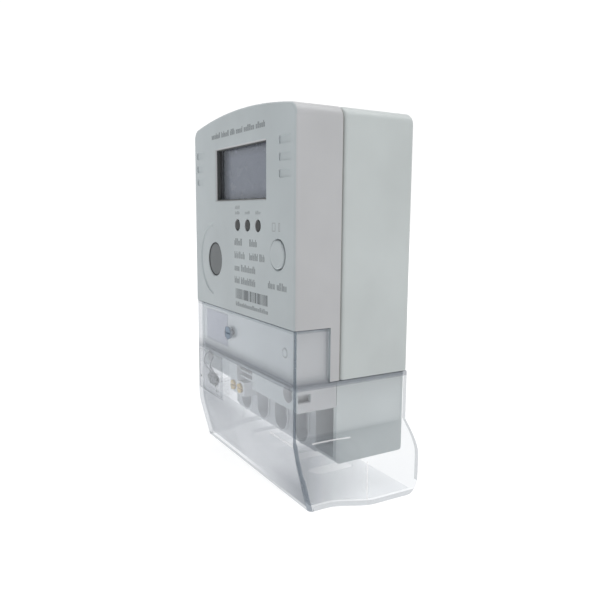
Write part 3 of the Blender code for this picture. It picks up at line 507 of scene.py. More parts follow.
def combine(target, operation, tools):
    """Cuts the tools out of the target or joins them to it, and removes them."""
    for tool in tools:
        step = target.modifiers.new(tool.name, "BOOLEAN")
        step.operation = operation
        step.solver = "EXACT"
        step.object = tool
    graph = bpy.context.evaluated_depsgraph_get()
    mesh = bpy.data.meshes.new_from_object(target.evaluated_get(graph))
    target.modifiers.clear()
    target.data = mesh
    for tool in tools:
        bpy.data.objects.remove(tool)


def cut(target, *tools):
    combine(target, "DIFFERENCE", tools)


def join(target, *tools):
    combine(target, "UNION", tools)


def finish_piece(piece, body, finishes, replaces=(), soften=0.0, angle=32.0, choose=None):
    """Gives the piece its body and finishes, softens its edges and evens out its shading.

    Where there are several finishes, choose(face) returns the number of the face's own.
    """
    mesh = piece.data
    mesh.materials.clear()
    for finish in finishes:
        mesh.materials.append(LIBRARY[finish])
    if choose:
        for face in mesh.polygons:
            face.material_index = choose(face)
    mesh.shade_smooth()
    mesh.set_sharp_from_angle(angle=math.radians(angle))
    if soften:
        bevel = piece.modifiers.new("soft_edges", "BEVEL")
        bevel.width = soften * MM
        bevel.segments = 2
        bevel.limit_method = "ANGLE"
        bevel.angle_limit = math.radians(50.0)
    weights = piece.modifiers.new("even_shading", "WEIGHTED_NORMAL")
    weights.keep_sharp = True
    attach(piece, body)
    if replaces:
        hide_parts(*replaces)


# ---------------- housing


def housing_outline(inset, bottom=BASE_Z):
    """Front view of the housing, moved inwards by inset: straight sides, rounded corners, arched top."""
    half = HALF_WIDTH - inset
    arch = ARCH_RADIUS - inset
    corner = max(TOP_CORNER - inset, 0.6)
    arch_z = CROWN_Z - ARCH_RADIUS
    corner_x = half - corner
    corner_z = arch_z + math.sqrt((arch - corner) ** 2 - corner_x**2)
    lean = math.degrees(math.atan2(corner_z - arch_z, corner_x))
    foot = max(BOTTOM_CORNER - inset, 0.4)
    low = bottom + inset
    points = arc(half - foot, low + foot, foot, -90, 0, 4)
    points += arc(corner_x, corner_z, corner, 0, lean, 10)
    points += arc(0.0, arch_z, arch, lean, 180 - lean, 30)[1:-1]
    points += arc(-corner_x, corner_z, corner, 180 - lean, 180, 10)
    points += arc(-half + foot, low + foot, foot, 180, 270, 4)
    return points


def fillet_steps(radius, steps=7):
    """(distance from the face, inset) pairs down a rounded edge, from the face to the side."""
    pairs = []
    for i in range(steps + 1):
        angle = math.pi / 2 * i / steps
        pairs.append((radius * (1 - math.cos(angle)), radius * (1 - math.sin(angle))))
    return pairs


def housing_prism(inset, depths, bottom):
    return prism(housing_outline(inset, bottom - inset), depths)


# How far the cutters run past the housing
BEFORE_FACE = -5.0
PAST_BACK = 70.0
PAST_SIDE = 60.0
UNDER_BASE = -90.0
UNDER_FRONT = -70.0


def recess_cutters(front):
    """The step that the terminal cover fits into, in the front housing or in the base behind it."""
    across = (-PAST_SIDE, PAST_SIDE)
    sides = ((RECESS_HALF, PAST_SIDE), (-PAST_SIDE, -RECESS_HALF))
    low = (UNDER_BASE, SKIRT_TOP_Z + GAP)
    tools = [cuboid(side, (BEFORE_FACE, PAST_BACK), low) for side in sides]
    if front:
        high = (UNDER_FRONT, COVER_TOP_Z + GAP)
        tools.append(cuboid(across, (BEFORE_FACE, PANEL_DEPTH), high))
        tools.append(cuboid(across, (BEFORE_FACE, BAND_DEPTH), low))
        tools += [cuboid(side, (BEFORE_FACE, FLANGE_DEPTH + GAP), high) for side in sides]
    return tools


# Rims of the display's opening and the port's groove: (depth, growth) and (depth, half width)
LCD_RIM = ((-1.0, 1.0), (0.0, 1.0), (0.25, 0.55), (0.9, 0.12), (1.2, 0.0), (6.0, 0.0))
GROOVE_RIM = ((-1.0, 1.1), (0.0, 1.1), (0.3, 0.8), (0.55, 0.3))
GROOVE_START, GROOVE_END = 97, 262


def lcd_aperture():
    rings = [rectangle(widen(LCD_X, grow), widen(LCD_Z, grow), depth) for depth, grow in LCD_RIM]
    return lofted(rings)


def port_groove():
    """Groove along the left half of a circle round the optical port."""
    rings = []
    for depth, half in GROOVE_RIM:
        outline = arc(*PORT, PORT_GROOVE + half, GROOVE_START, GROOVE_END, 40)
        outline += arc(*PORT, PORT_GROOVE - half, GROOVE_END, GROOVE_START, 40)
        rings.append(ring(outline, depth))
    return lofted(rings)


def countersink(radius, x, z, lead):
    """Sloping rim round a hole in the front face."""
    rings = []
    for depth, grow in ((-1.0, lead + 1.0), (lead, 0.0)):
        rings.append(ring(circle(x, z, radius + grow, 60), depth))
    return lofted(rings)


GRIP_CORNER = 0.8
GRIP_STRAIGHT = 0.9
GRIP_DEPTH = 0.42


def grip_grooves():
    """Three shallow bars with rounded corners on each side of the display."""
    tools = []
    for z in GRIP_ZS:
        for sign in (1.0, -1.0):
            left, right = sorted(sign * x for x in GRIP_X)
            centres = (
                (left + GRIP_CORNER, z + GRIP_STRAIGHT),
                (left + GRIP_CORNER, z - GRIP_STRAIGHT),
                (right - GRIP_CORNER, z - GRIP_STRAIGHT),
                (right - GRIP_CORNER, z + GRIP_STRAIGHT),
            )
            outline = []
            for (x, corner_z), start in zip(centres, (90, 180, 270, 0)):
                outline += arc(x, corner_z, GRIP_CORNER, start, start + 90, 5)
            tools.append(prism(outline, (-1.0, GRIP_DEPTH)))
    return tools


# Walls behind the front face and the recessed band, round holes, and the fittings behind them
FACE_WALL, BAND_WALL = 2.5, 1.8
FACE_HOLE = (-1.0, 5.0)
LED_RADIUS = 2.9
PORT_RADIUS, PORT_LEAD = 8.8, 0.45
BUTTON_RADIUS, BUTTON_LEAD = 6.7, 0.5
PLUNGER_RADIUS = 2.4
COVER_SCREW_BOSS, COVER_SCREW_BORE = 4.0, 1.8
POST_RADIUS, POST_HEAD, POST_BORE = 5.6, 4.1, 2.2
SNAP_X = ((50.0, 55.0), (-55.0, -50.0))
SNAP_DEPTHS, SNAP_Z = (3.6, 10.0), (-49.3, -45.5)

# Window for the auxiliary terminals, with two thin shelves across it
AUX_X, AUX_TOP_Z = (-8.8, 8.8), -44.6
AUX_WALL = 1.8
AUX_SHELF_ZS, AUX_SHELF_HALF = (-47.6, -50.6), 0.45

# The front housing's rear edge: (distance from the edge, inset)
SEAM_CHAMFER = ((0.45, 0.0), (0.15, 0.12), (0.0, 0.4))


def front_fittings(rear):
    """Posts for the housing screws, the cover screw's boss and the box of the auxiliary terminals."""
    posts = [peg(POST_RADIUS, x, POST_Z, (BAND_DEPTH + 1.4, rear)) for x in (POST_X, -POST_X)]
    boss = peg(COVER_SCREW_BOSS, *COVER_SCREW, (4.5, 12.0))
    aux_z = (FRONT_HOUSING_Z + 0.4, AUX_TOP_Z + AUX_WALL)
    return [*posts, boss, cuboid(widen(AUX_X, AUX_WALL), (4.5, 13.0), aux_z)]


def front_openings():
    """Everything that is cut into the front face and the recessed panels."""
    tools = [lcd_aperture(), port_groove(), *grip_grooves()]
    tools += [peg(LED_RADIUS, x, LED_Z, FACE_HOLE, 32) for x in LED_XS]
    tools += [
        peg(PORT_RADIUS, *PORT, FACE_HOLE, 64),
        countersink(PORT_RADIUS, *PORT, PORT_LEAD),
        peg(BUTTON_RADIUS, *BUTTON, FACE_HOLE, 56),
        countersink(BUTTON_RADIUS, *BUTTON, BUTTON_LEAD),
        peg(COVER_SCREW_BORE, *COVER_SCREW, (0.0, 11.0)),
        peg(PLUNGER_RADIUS, *PLUNGER, (0.0, 8.0)),
        cuboid(widen(BLANK_X, GAP), (0.0, PANEL_DEPTH + 0.5), widen(BLANK_Z, GAP)),
    ]
    for x in (POST_X, -POST_X):
        tools.append(peg(POST_HEAD, x, POST_Z, (0.0, 9.4)))
        tools.append(peg(POST_BORE, x, POST_Z, (8.0, 30.0)))
    tools += [cuboid(x, SNAP_DEPTHS, SNAP_Z) for x in SNAP_X]
    return tools


def aux_openings():
    """The window's mouth and the slots between its shelves."""
    bottom = FRONT_HOUSING_Z - 1.0
    lows = [z + AUX_SHELF_HALF for z in AUX_SHELF_ZS] + [bottom]
    highs = [AUX_TOP_Z] + [z - AUX_SHELF_HALF for z in AUX_SHELF_ZS]
    slots = [cuboid(AUX_X, (4.2, 11.0), span) for span in zip(lows, highs)]
    return [cuboid(AUX_X, (0.0, 5.0), (bottom, AUX_TOP_Z)), *slots]


def front_shell():
    rear = SEAM_DEPTH - GAP
    steps = fillet_steps(FRONT_FILLET) + [(rear - back, inset) for back, inset in SEAM_CHAMFER]
    rings = [ring(housing_outline(inset, FRONT_HOUSING_Z - inset), depth) for depth, inset in steps]
    shell = lofted(rings, "front_shell")
    cut(shell, *recess_cutters(True))
    cut(
        shell,
        housing_prism(WALL, (FACE_WALL, SEAM_DEPTH - RIM_HEIGHT), COVER_TOP_Z + WALL + GAP),
        housing_prism(RIM_INSET, (BAND_DEPTH + BAND_WALL, 30.0), FRONT_HOUSING_Z + WALL),
    )
    join(shell, *front_fittings(rear))
    cut(shell, *front_openings())
    cut(shell, *aux_openings())

    sides, shaded_face_side, seam_shade_side = range(3)
    small = 4e-6  # square metres

    def choose(face):
        depth = face.center.y / MM - FRONT_Y / MM
        # Painted shade: the seam's chamfer takes the dark grey
        if depth > rear - 0.44:
            return seam_shade_side
        # Front-facing faces take the darker copy with the front's painted shade
        if face.normal.y < -0.6 or (face.area < small and depth < FRONT_FILLET * 0.5):
            return shaded_face_side
        return sides

    finishes = ["housing_white", "face_white", "seam_grey"]
    finish_piece(shell, "meter", finishes, ["front_housing"], SOFT_EDGE, choose=choose)


BACK_WALL = 2.5
SKIRT_WALL = 2.4
BASE_POST_RADIUS, BASE_POST_BORE = 4.6, 2.0
# Guide of the wall hanger inside the back: the block, the hanger's channel and the channel's mouth
HANGER_GUIDE = (
    ((-13.0, 13.0), (55.5, 60.5), (36.0, 76.0)),
    ((-10.3, 10.3), (58.6, 60.6), (38.0, 90.0)),
    ((-7.0, 7.0), (60.0, 65.0), (38.0, 90.0)),
)
WALL_SCREW_X, WALL_SCREW_Z, WALL_SCREW_RADIUS = 43.5, -66.0, 2.6


def base_shell():
    steps = [(SEAM_DEPTH + depth, inset) for depth, inset in fillet_steps(SEAM_FILLET)]
    steps += [(DEPTH - depth, inset) for depth, inset in reversed(fillet_steps(REAR_FILLET))]
    base = lofted([ring(housing_outline(inset), depth) for depth, inset in steps], "base_shell")
    cut(base, *recess_cutters(False))
    inner_back = DEPTH - BACK_WALL
    rim_back = SEAM_DEPTH + 4.0
    inner_x = (SKIRT_WALL - RECESS_HALF, RECESS_HALF - SKIRT_WALL)
    cut(
        base,
        housing_prism(RIM_INSET, (20.0, rim_back + 1.0), SKIRT_TOP_Z + WALL),
        housing_prism(WALL + 0.2, (rim_back, inner_back), SKIRT_TOP_Z + WALL),
        cuboid(inner_x, (20.0, inner_back), (BASE_Z + SKIRT_WALL, -37.0)),
        cuboid(widen(BLOCK_X, GAP), (20.0, BLOCK_DEPTH[1] + GAP), (UNDER_BASE, -51.0)),
    )
    bosses = []
    for sign in (1.0, -1.0):
        wall_x = sign * (RECESS_HALF - 1.5)
        outline = [(wall_x, POST_Z + BASE_POST_RADIUS)]
        outline += [(sign * x, z) for x, z in arc(POST_X, POST_Z, BASE_POST_RADIUS, 90, 270, 16)]
        outline.append((wall_x, POST_Z - BASE_POST_RADIUS))
        bosses.append(prism(outline, (SEAM_DEPTH + GAP, 44.0)))
    guide_block, *guide_openings = HANGER_GUIDE
    join(base, *bosses, cuboid(*guide_block))
    cut(
        base,
        *(peg(BASE_POST_BORE, x, POST_Z, (20.0, 42.0), 24) for x in (POST_X, -POST_X)),
        *(cuboid(*opening) for opening in guide_openings),
        peg(WALL_SCREW_RADIUS, WALL_SCREW_X, WALL_SCREW_Z, (50.0, PAST_BACK)),
    )
    finish_piece(base, "meter", ["base_white"], ["rear_base"], SOFT_EDGE)


# ---------------- terminal block


CABLE_DEPTH, CABLE_RADIUS = 41.2, 4.5
MOUTH_HALF = 6.4
MOUTH_RIM = 1.1
CAVITY_HALF = 5.7


def mouth_outline(x, half, low, high):
    """U shape: open top, round bottom."""
    return [(x - half, high)] + arc(x, low + half, half, 180, 360, 24) + [(x + half, high)]


def block_piece():
    block = cuboid(BLOCK_X, BLOCK_DEPTH, (BASE_Z, BLOCK_TOP), "terminal_housing")
    low = BASE_Z + 1.3
    front = BLOCK_DEPTH[0]
    rims = []
    for x in TERMINAL_XS:
        outer = mouth_outline(x, MOUTH_HALF + MOUTH_RIM, low - MOUTH_RIM, BLOCK_TOP - 0.5)
        rims.append(prism(outer, (front - 0.7, front + 2.0)))
    join(block, *rims)
    tools = []
    for x in TERMINAL_XS:
        cavity = (x - CAVITY_HALF, x + CAVITY_HALF)
        tools.append(prism(mouth_outline(x, MOUTH_HALF, low, BLOCK_TOP + 5.0), (20.0, 30.0)))
        tools.append(cuboid(cavity, (33.0, 60.0), (-77.5, -57.0)))
        tools.append(cuboid(cavity, (46.6, 60.0), (-77.6, -40.0)))
        cable = [(px, CABLE_DEPTH + pd) for px, pd in circle(x, 0.0, CABLE_RADIUS, 24)]
        tools.append(lofted([[(px, pd, z) for px, pd in cable] for z in (-100.0, -60.0)]))
        tools += [peg(3.6, x, z, (28.0, 35.0), 28) for z in TERMINAL_SCREW_ZS]
    cut(block, *tools)
    finish_piece(block, "meter", ["terminal_grey"], ["terminal_block"], 0.25)


# ---------------- clear cover


REAR_LIP = 61.9
# Depths of the points along a side: close together where the side swings out
SIDE_DEPTHS = (
    9.0, 13.0, 16.0, 17.4, FLANGE_DEPTH, 19.5, 21.0, 22.5, 24.0, 25.5, 27.0, 28.5,
    30.0, 31.5, 33.2, 33.7, 34.5, 36.0, 38.0, 40.0, 44.0, 48.0, 54.0, REAR_LIP,
)
# How much of the flare swings out in a curve, and how much grows evenly with depth
SWELL_SHARE, STRAIGHT_SHARE = 0.86, 0.14
BAND_HEIGHT = 1.2
FOOT_RADIUS = 1.2
REAR_RADIUS = 8.0
FLOOR_Z = COVER_BOTTOM_Z + COVER_WALL
SLOT_RADIUS = 6.2
SLOT_DEPTHS = (34.0, 48.0)

# Painted highlight lines in the clear wall: along the top of the flare, and down the fold in its side
CREASE_HIGHLIGHT_X = 34.0
CREASE_HIGHLIGHT_Z = (-67.5, -66.9)
CREASE_HIGHLIGHT_DEPTHS = (8.0, 29.0)
FOLD_HIGHLIGHT_TOP_Z = -77.0
FOLD_HIGHLIGHT_DEPTHS = (33.2, 33.7)


def front_setback(z):
    """How far the cover's front has curved back at height z."""
    drop = FRONT_CURVE_Z - z
    if drop <= 0.0:
        return 0.0
    arc_drop = FRONT_CURVE_RADIUS * math.sin(FRONT_CURVE_ANGLE)
    if drop < arc_drop:
        return FRONT_CURVE_RADIUS - math.sqrt(FRONT_CURVE_RADIUS**2 - drop**2)
    arc_back = FRONT_CURVE_RADIUS * (1 - math.cos(FRONT_CURVE_ANGLE))
    return arc_back + (drop - arc_drop) * math.tan(FRONT_CURVE_ANGLE)


def flare(depth, z):
    """How far the cover's side stands out beyond the housing's width at this depth and height."""
    fall = clamp((FLARE_TOP_Z - z) / FLARE_HEIGHT)
    along = clamp((depth - FLARE_START_DEPTH) / (FLARE_END_DEPTH - FLARE_START_DEPTH))
    swell = along * along * (3 - 2 * along)
    growth = SWELL_SHARE * swell + STRAIGHT_SHARE * min(depth / DEPTH, 1.0)
    return math.sin(fall * math.pi / 2) * (FLARE_FRONT + (FLARE_REAR - FLARE_FRONT) * growth)


def cover_section(z, inset, rear):
    """Plan outline of the cover at height z, moved inwards by inset, closed by a straight line at rear."""
    front = front_setback(z) + inset
    corner = max(COVER_CORNER - inset, 0.3)
    half = HALF_WIDTH - inset

    def side(depth):
        return half + flare(depth, z)

    right = [(CREASE_HIGHLIGHT_X, front)]
    for i in range(13):
        angle = math.radians(7.5 * i)
        x = side(front) - corner + corner * math.sin(angle)
        right.append((x, front + corner - corner * math.cos(angle)))
    for depth in (*SIDE_DEPTHS, rear):
        right.append((side(min(depth, DEPTH)), min(depth, rear)))
    left = [(-x, depth) for x, depth in reversed(right)]
    return [(x, depth, z) for x, depth in left + right]


def cover_levels():
    """Heights of the cover's sections: few where it is straight, close where it flares."""
    steps = 14
    levels = [COVER_TOP_Z, COVER_TOP_Z - BAND_HEIGHT, SKIRT_TOP_Z, SKIRT_TOP_Z - BAND_HEIGHT]
    levels += [FRONT_CURVE_Z + 1.5, FRONT_CURVE_Z]
    levels += [FLARE_TOP_Z - FLARE_HEIGHT * i / steps for i in range(steps + 1)]
    levels += [*CREASE_HIGHLIGHT_Z, -82.0, -86.0]
    return sorted(levels, reverse=True)


def rounding(radius, rise):
    """How far an edge rounded to this radius has drawn back where it is rise above its foot."""
    return radius - math.sqrt(max(radius**2 - (radius - rise) ** 2, 0.0))


def cover_outside():
    """Sections of the cover's outside, closer towards its rounded foot and rear lower corner."""
    sections = [cover_section(z, 0.0, DEPTH) for z in cover_levels()]
    low = COVER_BOTTOM_Z + REAR_RADIUS
    heights = [low - REAR_RADIUS * math.sin(math.radians(10.0 * (i + 1))) for i in range(7)]
    heights += [COVER_BOTTOM_Z + FOOT_RADIUS * (1 - math.sin(math.radians(15.0 * i))) for i in range(7)]
    for z in sorted(set(heights), reverse=True):
        rise = z - COVER_BOTTOM_Z
        shrink = rounding(FOOT_RADIUS, rise) if rise < FOOT_RADIUS else 0.0
        sections.append(cover_section(z, shrink, DEPTH - rounding(REAR_RADIUS, rise)))
    return sections


def cover_inside():
    """Sections of the hollow behind the cover's wall."""
    levels = [COVER_TOP_Z + 5.0] + cover_levels()[1:] + [-92.0, FLOOR_Z + 0.8, FLOOR_Z + 0.3]
    sections = [cover_section(z, COVER_WALL, DEPTH + 10.0) for z in levels]
    sections.append(cover_section(FLOOR_Z, COVER_WALL + 0.8, DEPTH + 10.0))
    return sections


def cover_openings():
    """The screw's hole, the recess for the wiring film and the cable slots in the floor."""
    tools = [
        peg(3.6, *COVER_SCREW, (-2.0, 1.5)),
        peg(1.9, *COVER_SCREW, (-2.0, 4.0)),
        cuboid(widen(FILM_X, GAP), (-2.0, 0.45), widen(FILM_Z, GAP)),
    ]
    near, far = SLOT_DEPTHS
    for x in TERMINAL_XS:
        slot = arc(0.0, near, SLOT_RADIUS, 180, 360, 20) + arc(0.0, far, SLOT_RADIUS, 0, 180, 20)
        ends = (-110.0, FLOOR_Z + 2.0)
        tools.append(lofted([[(x + px, depth, z) for px, depth in slot] for z in ends]))
    return tools


def cover_shell():
    cover = lofted(cover_outside(), "clear_cover_shell")
    cut(cover, lofted(cover_inside()))
    cut(cover, cuboid((-70.0, 70.0), (FLANGE_DEPTH, 80.0), (SKIRT_TOP_Z, 0.0)))
    rib_z = (SKIRT_TOP_Z - 1.8, SKIRT_TOP_Z - 0.4)
    join(cover, cuboid((-50.0, 50.0), (COVER_WALL - 0.5, BAND_DEPTH - 0.4), rib_z))
    cut(cover, *cover_openings())
    replaced = ["terminal_cover"]
    finish_piece(cover, "cover", COVER_FINISHES, replaced, angle=40.0, choose=cover_zone)
    cover.visible_shadow = False


# Zones of the cover, and the finish of each in the same order. The edge, band and rim zones carry painted
# shade along the clear wall's edges; the crease zone carries a painted highlight.
PLAIN, EDGE_SHADE, BAND_SHADE, FRONT, LOW, FLOOR, CREASE_HIGHLIGHT, RIM_SHADE = range(8)
COVER_FINISHES = (
    "clear_cover", "cover_edge", "cover_band", "cover_front",
    "cover_low", "cover_floor", "cover_crease", "cover_rim",
)
# How much of a face's normal points along an axis when the face looks that way, or leans that way
LOOKS = 0.7
LEANS = 0.5
# Painted dark line down the corner: how far a face turns to join it, how much less lower down, over what
# height
LINE_TURN, LINE_WIDENING, LINE_HEIGHT = 0.45, 0.24, 34.0
# Depth of the left side's strip of painted shade, and of the layer that counts as the outer skin
STRIP_REACH = 7.0
SKIN = 0.9


def cover_zone(face):
    """The zone of the clear cover that a face belongs to."""
    x, y, z = (value / MM for value in face.center)
    depth = y - FRONT_Y / MM
    across, back, up = face.normal
    setback = front_setback(z)
    side_x = HALF_WIDTH + flare(depth, z)
    outer = abs(x) > side_x - SKIN
    in_corner = depth < setback + COVER_CORNER and abs(x) > side_x - COVER_CORNER
    line_turn = LINE_TURN - LINE_WIDENING * clamp((FLARE_TOP_Z - z) / LINE_HEIGHT)
    if in_corner and abs(across) > line_turn and back < -line_turn:
        return EDGE_SHADE if x > 0.0 else RIM_SHADE
    if depth < setback + STRIP_REACH and abs(across) > LOOKS and x < 0.0:
        return RIM_SHADE
    if up > LOOKS and (z > COVER_TOP_Z - 0.5 or abs(z - SKIRT_TOP_Z) < 0.5):
        return EDGE_SHADE
    if z > COVER_TOP_Z - BAND_HEIGHT:
        return BAND_SHADE
    if z > SKIRT_TOP_Z:
        if back < LOOKS and depth > FLANGE_DEPTH - 0.6:
            return BAND_SHADE
        return FRONT if back < -LEANS else PLAIN
    if depth > REAR_LIP:
        return RIM_SHADE
    if z < COVER_BOTTOM_Z + 1.0 and outer and abs(up) < 0.98:
        return RIM_SHADE
    if abs(up) > LOOKS and z < FLOOR_Z + 1.0:
        return FLOOR
    if z < FLOOR_Z + 0.2:
        by_slots = abs(x) < 40.0 and depth > 20.0
        return FLOOR if by_slots else RIM_SHADE
    # Painted highlight along the top of the flare and down the fold
    in_crease_highlight = CREASE_HIGHLIGHT_Z[0] < z < CREASE_HIGHLIGHT_Z[1]
    if back < -LEANS:
        return CREASE_HIGHLIGHT if x > CREASE_HIGHLIGHT_X and in_crease_highlight and depth < setback + 0.5 else FRONT
    if outer and in_crease_highlight and abs(across) > LOOKS and CREASE_HIGHLIGHT_DEPTHS[0] < depth < CREASE_HIGHLIGHT_DEPTHS[1]:
        return CREASE_HIGHLIGHT
    if outer and z < FOLD_HIGHLIGHT_TOP_Z and abs(across) > LEANS and FOLD_HIGHLIGHT_DEPTHS[0] < depth < FOLD_HIGHLIGHT_DEPTHS[1]:
        return CREASE_HIGHLIGHT
    return LOW if z < FLARE_TOP_Z else PLAIN


# ---------------- print and small fittings


# How far the print stands proud and reaches in, as depths
PRINT_DEPTHS = (-0.03, 0.02)
FILM_PRINT_DEPTHS = (-0.02, 0.0)

# Lines of print: (left, right), height of the middle, and pairs of uprights in each word
TITLE_X, TITLE_Z, TITLE_WORDS = (-31.0, 29.5), 72.0, (6, 5, 3, 4, 6, 5)
RATING_LINES = (
    ((-3.6, 5.4), 19.0, (4,)),
    ((13.0, 21.4), 19.0, (4,)),
    ((-3.6, 8.4), 12.6, (5,)),
    ((13.0, 29.0), 12.6, (5, 3)),
    ((-3.6, 19.6), 6.4, (3, 8)),
    ((-3.6, 19.6), 0.3, (3, 8)),
    ((32.0, 49.5), 1.2, (3, 4)),
)
TITLE_HEIGHT, RATING_HEIGHT = 2.9, 3.4
STRIP_X, STRIP_Z = (-2.4, 32.0), (-9.0, -4.0)
STRIP_BARS, STRIP_GAPS = (0.35, 0.35, 0.7, 1.0), (0.35, 0.5, 0.8)

WORD_GAP = 0.7
TALL_CHANCE, TALL, SHORT = 0.35, 0.5, 0.2


def greeked_line(bm, rng, x, z, height, words, stem=0.2):
    """Uprights in place of words: words counts each word's pairs of uprights, x is the line's two ends."""
    total = sum(words) + WORD_GAP * (len(words) - 1)
    pitch = (x[1] - x[0]) / total
    cursor = x[0]
    for count in words:
        for _ in range(count):
            tops = [z + height * (TALL if rng.random() < TALL_CHANCE else SHORT) for _ in range(2)]
            for place, top in zip((0.06, 0.52), tops):
                left = cursor + pitch * place
                add_box(bm, (left, left + pitch * stem), PRINT_DEPTHS, (z - height * 0.5, top))
            cursor += pitch
        cursor += WORD_GAP * pitch


def outline_box(bm, x, z, width, depths=PRINT_DEPTHS):
    """A rectangle drawn as four thin bars that meet at their ends."""
    upright = (z[0] + width, z[1] - width)
    add_box(bm, x, depths, (z[0], z[0] + width))
    add_box(bm, x, depths, (z[1] - width, z[1]))
    add_box(bm, (x[0], x[0] + width), depths, upright)
    add_box(bm, (x[1] - width, x[1]), depths, upright)


def front_print():
    """Plain uprights where the face carries its ratings, and a bar strip with no code in it."""
    rng = random.Random(11)
    bm = bmesh.new()
    greeked_line(bm, rng, TITLE_X, TITLE_Z, TITLE_HEIGHT, TITLE_WORDS, 0.22)
    for x, z, words in RATING_LINES:
        greeked_line(bm, rng, x, z, RATING_HEIGHT, words)
    cursor = STRIP_X[0]
    while cursor < STRIP_X[1]:
        width = rng.choice(STRIP_BARS)
        add_box(bm, (cursor, cursor + width), PRINT_DEPTHS, STRIP_Z)
        cursor += width + rng.choice(STRIP_GAPS)
    greeked_line(bm, rng, (STRIP_X[0], 32.4), STRIP_Z[0] - 2.6, 2.2, (16,))
    finish_piece(to_object("front_print", bm), "meter", ["print_grey"])

    bm = bmesh.new()
    for x, lines in zip(LED_XS, (2, 1, 1)):
        for line in range(lines):
            greeked_line(bm, rng, (x - 2.7, x + 2.7), LED_Z + 6.0 + 2.6 * line, 1.7, (5,))
    for x, half in ((37.4, 1.5), (42.4, 0.7)):
        outline_box(bm, (x - half, x + half), (LED_Z - 2.2, LED_Z + 1.6), 0.35)
    finish_piece(to_object("front_print_small", bm), "meter", ["print_pale"])


def shade_liner(name, rings):
    """Hollow dark frame of painted shade: a surface through rings of equal length, from the last back to the
    first.
    """
    bm = bmesh.new()
    rows = [[bm.verts.new(point) for point in points] for points in rings]
    for first, second in zip(rows, rows[1:] + rows[:1]):
        add_strip(bm, first, second)
    finish_piece(to_object(name, bm), "meter", ["liner_dark"])


def lcd_shade_liner():
    """Dark frame between the display's window and the housing: painted shade on the walls of the display's
    recess.
    """
    wall, front, back = 0.35, 0.9, 2.75
    rings = []
    for depth, inset in ((front, 0.0), (back, 0.0), (back, wall), (front, wall)):
        rings.append(rectangle(widen(LCD_X, -inset), widen(LCD_Z, -inset), depth))
    shade_liner("lcd_shade_liner", rings)


def port_shade_liner():
    """Dark tube in the gap round the optical port's window: painted shade on the wall of the port's recess.
    """
    outer, inner, front, back = 8.76, 8.54, 0.25, 2.6
    rings = []
    for radius, depth in ((outer, back), (outer, front), (inner, front), (inner, back)):
        rings.append(ring(circle(*PORT, radius, 60), depth))
    shade_liner("port_shade_liner", rings)


# Wiring film: upright lines as (x, low, high), and small marks by their lower left corner
FILM_LINES = ((-37.5, -60.0, -52.0), (-30.5, -62.0, -49.0), (-27.5, -62.0, -53.0))
FILM_MARKS = (
    (-51.5, -60.5), (-30.9, -57.0), (-28.6, -57.8), (-30.9, -61.6), (-28.6, -64.0), (-38.0, -61.0)
)


def film_print():
    """Thin lines on the wiring film: a border, cable lines and small marks."""
    bm = bmesh.new()
    border_x = (FILM_X[0] + 0.6, FILM_X[1] - 0.8)
    outline_box(bm, border_x, widen(FILM_Z, -0.6), 0.18, FILM_PRINT_DEPTHS)
    for x, low, high in FILM_LINES:
        add_box(bm, (x, x + 0.25), FILM_PRINT_DEPTHS, (low, high))
    for x, z in FILM_MARKS:
        add_box(bm, (x, x + 1.4), FILM_PRINT_DEPTHS, (z, z + 1.3))
    finish_piece(to_object("film_print", bm), "cover", ["print_pale"])


# ---------------- seal


SEAL_CENTRE = Vector([node_centre("lead_seal", axis) for axis in range(3)])
SEAL_HALF_SIZES = (6.3, 2.4, 3.3)
SEAL_TILT = math.radians(14.0)

# Loop of the twisted wire, from the lead seal up and back down to it
WIRE_ROUTE = (
    (-48.2, 5.2, -57.6), (-49.6, 4.6, -56.6), (-51.6, 3.6, -55.2), (-52.7, 2.9, -53.0), (-52.4, 2.8, -50.6),
    (-50.8, 2.8, -48.2), (-48.4, 3.1, -46.2), (-46.4, 4.2, -45.6), (-44.6, 4.9, -46.2), (-43.6, 4.7, -47.6),
    (-43.2, 3.6, -49.6), (-43.4, 2.8, -51.8), (-44.2, 3.2, -54.0), (-45.2, 4.6, -56.2), (-45.9, 5.3, -57.6),
)
STRAND_RADIUS = 0.2
STRAND_OFFSET = 0.16
STRAND_TWIST = 1.9  # radians a millimetre


def smooth_route(points, per_span):
    """Catmull-Rom curve through the points."""
    vectors = [Vector(point) for point in points]
    padded = [2 * vectors[0] - vectors[1]] + vectors + [2 * vectors[-1] - vectors[-2]]
    route = []
    for a, b, c, d in zip(padded, padded[1:], padded[2:], padded[3:]):
        for i in range(per_span):
            t = i / per_span
            square = (2 * a - 5 * b + 4 * c - d) * t**2
            cube = (3 * b - a - 3 * c + d) * t**3
            route.append(0.5 * (2 * b + (c - a) * t + square + cube))
    route.append(vectors[-1])
    return route


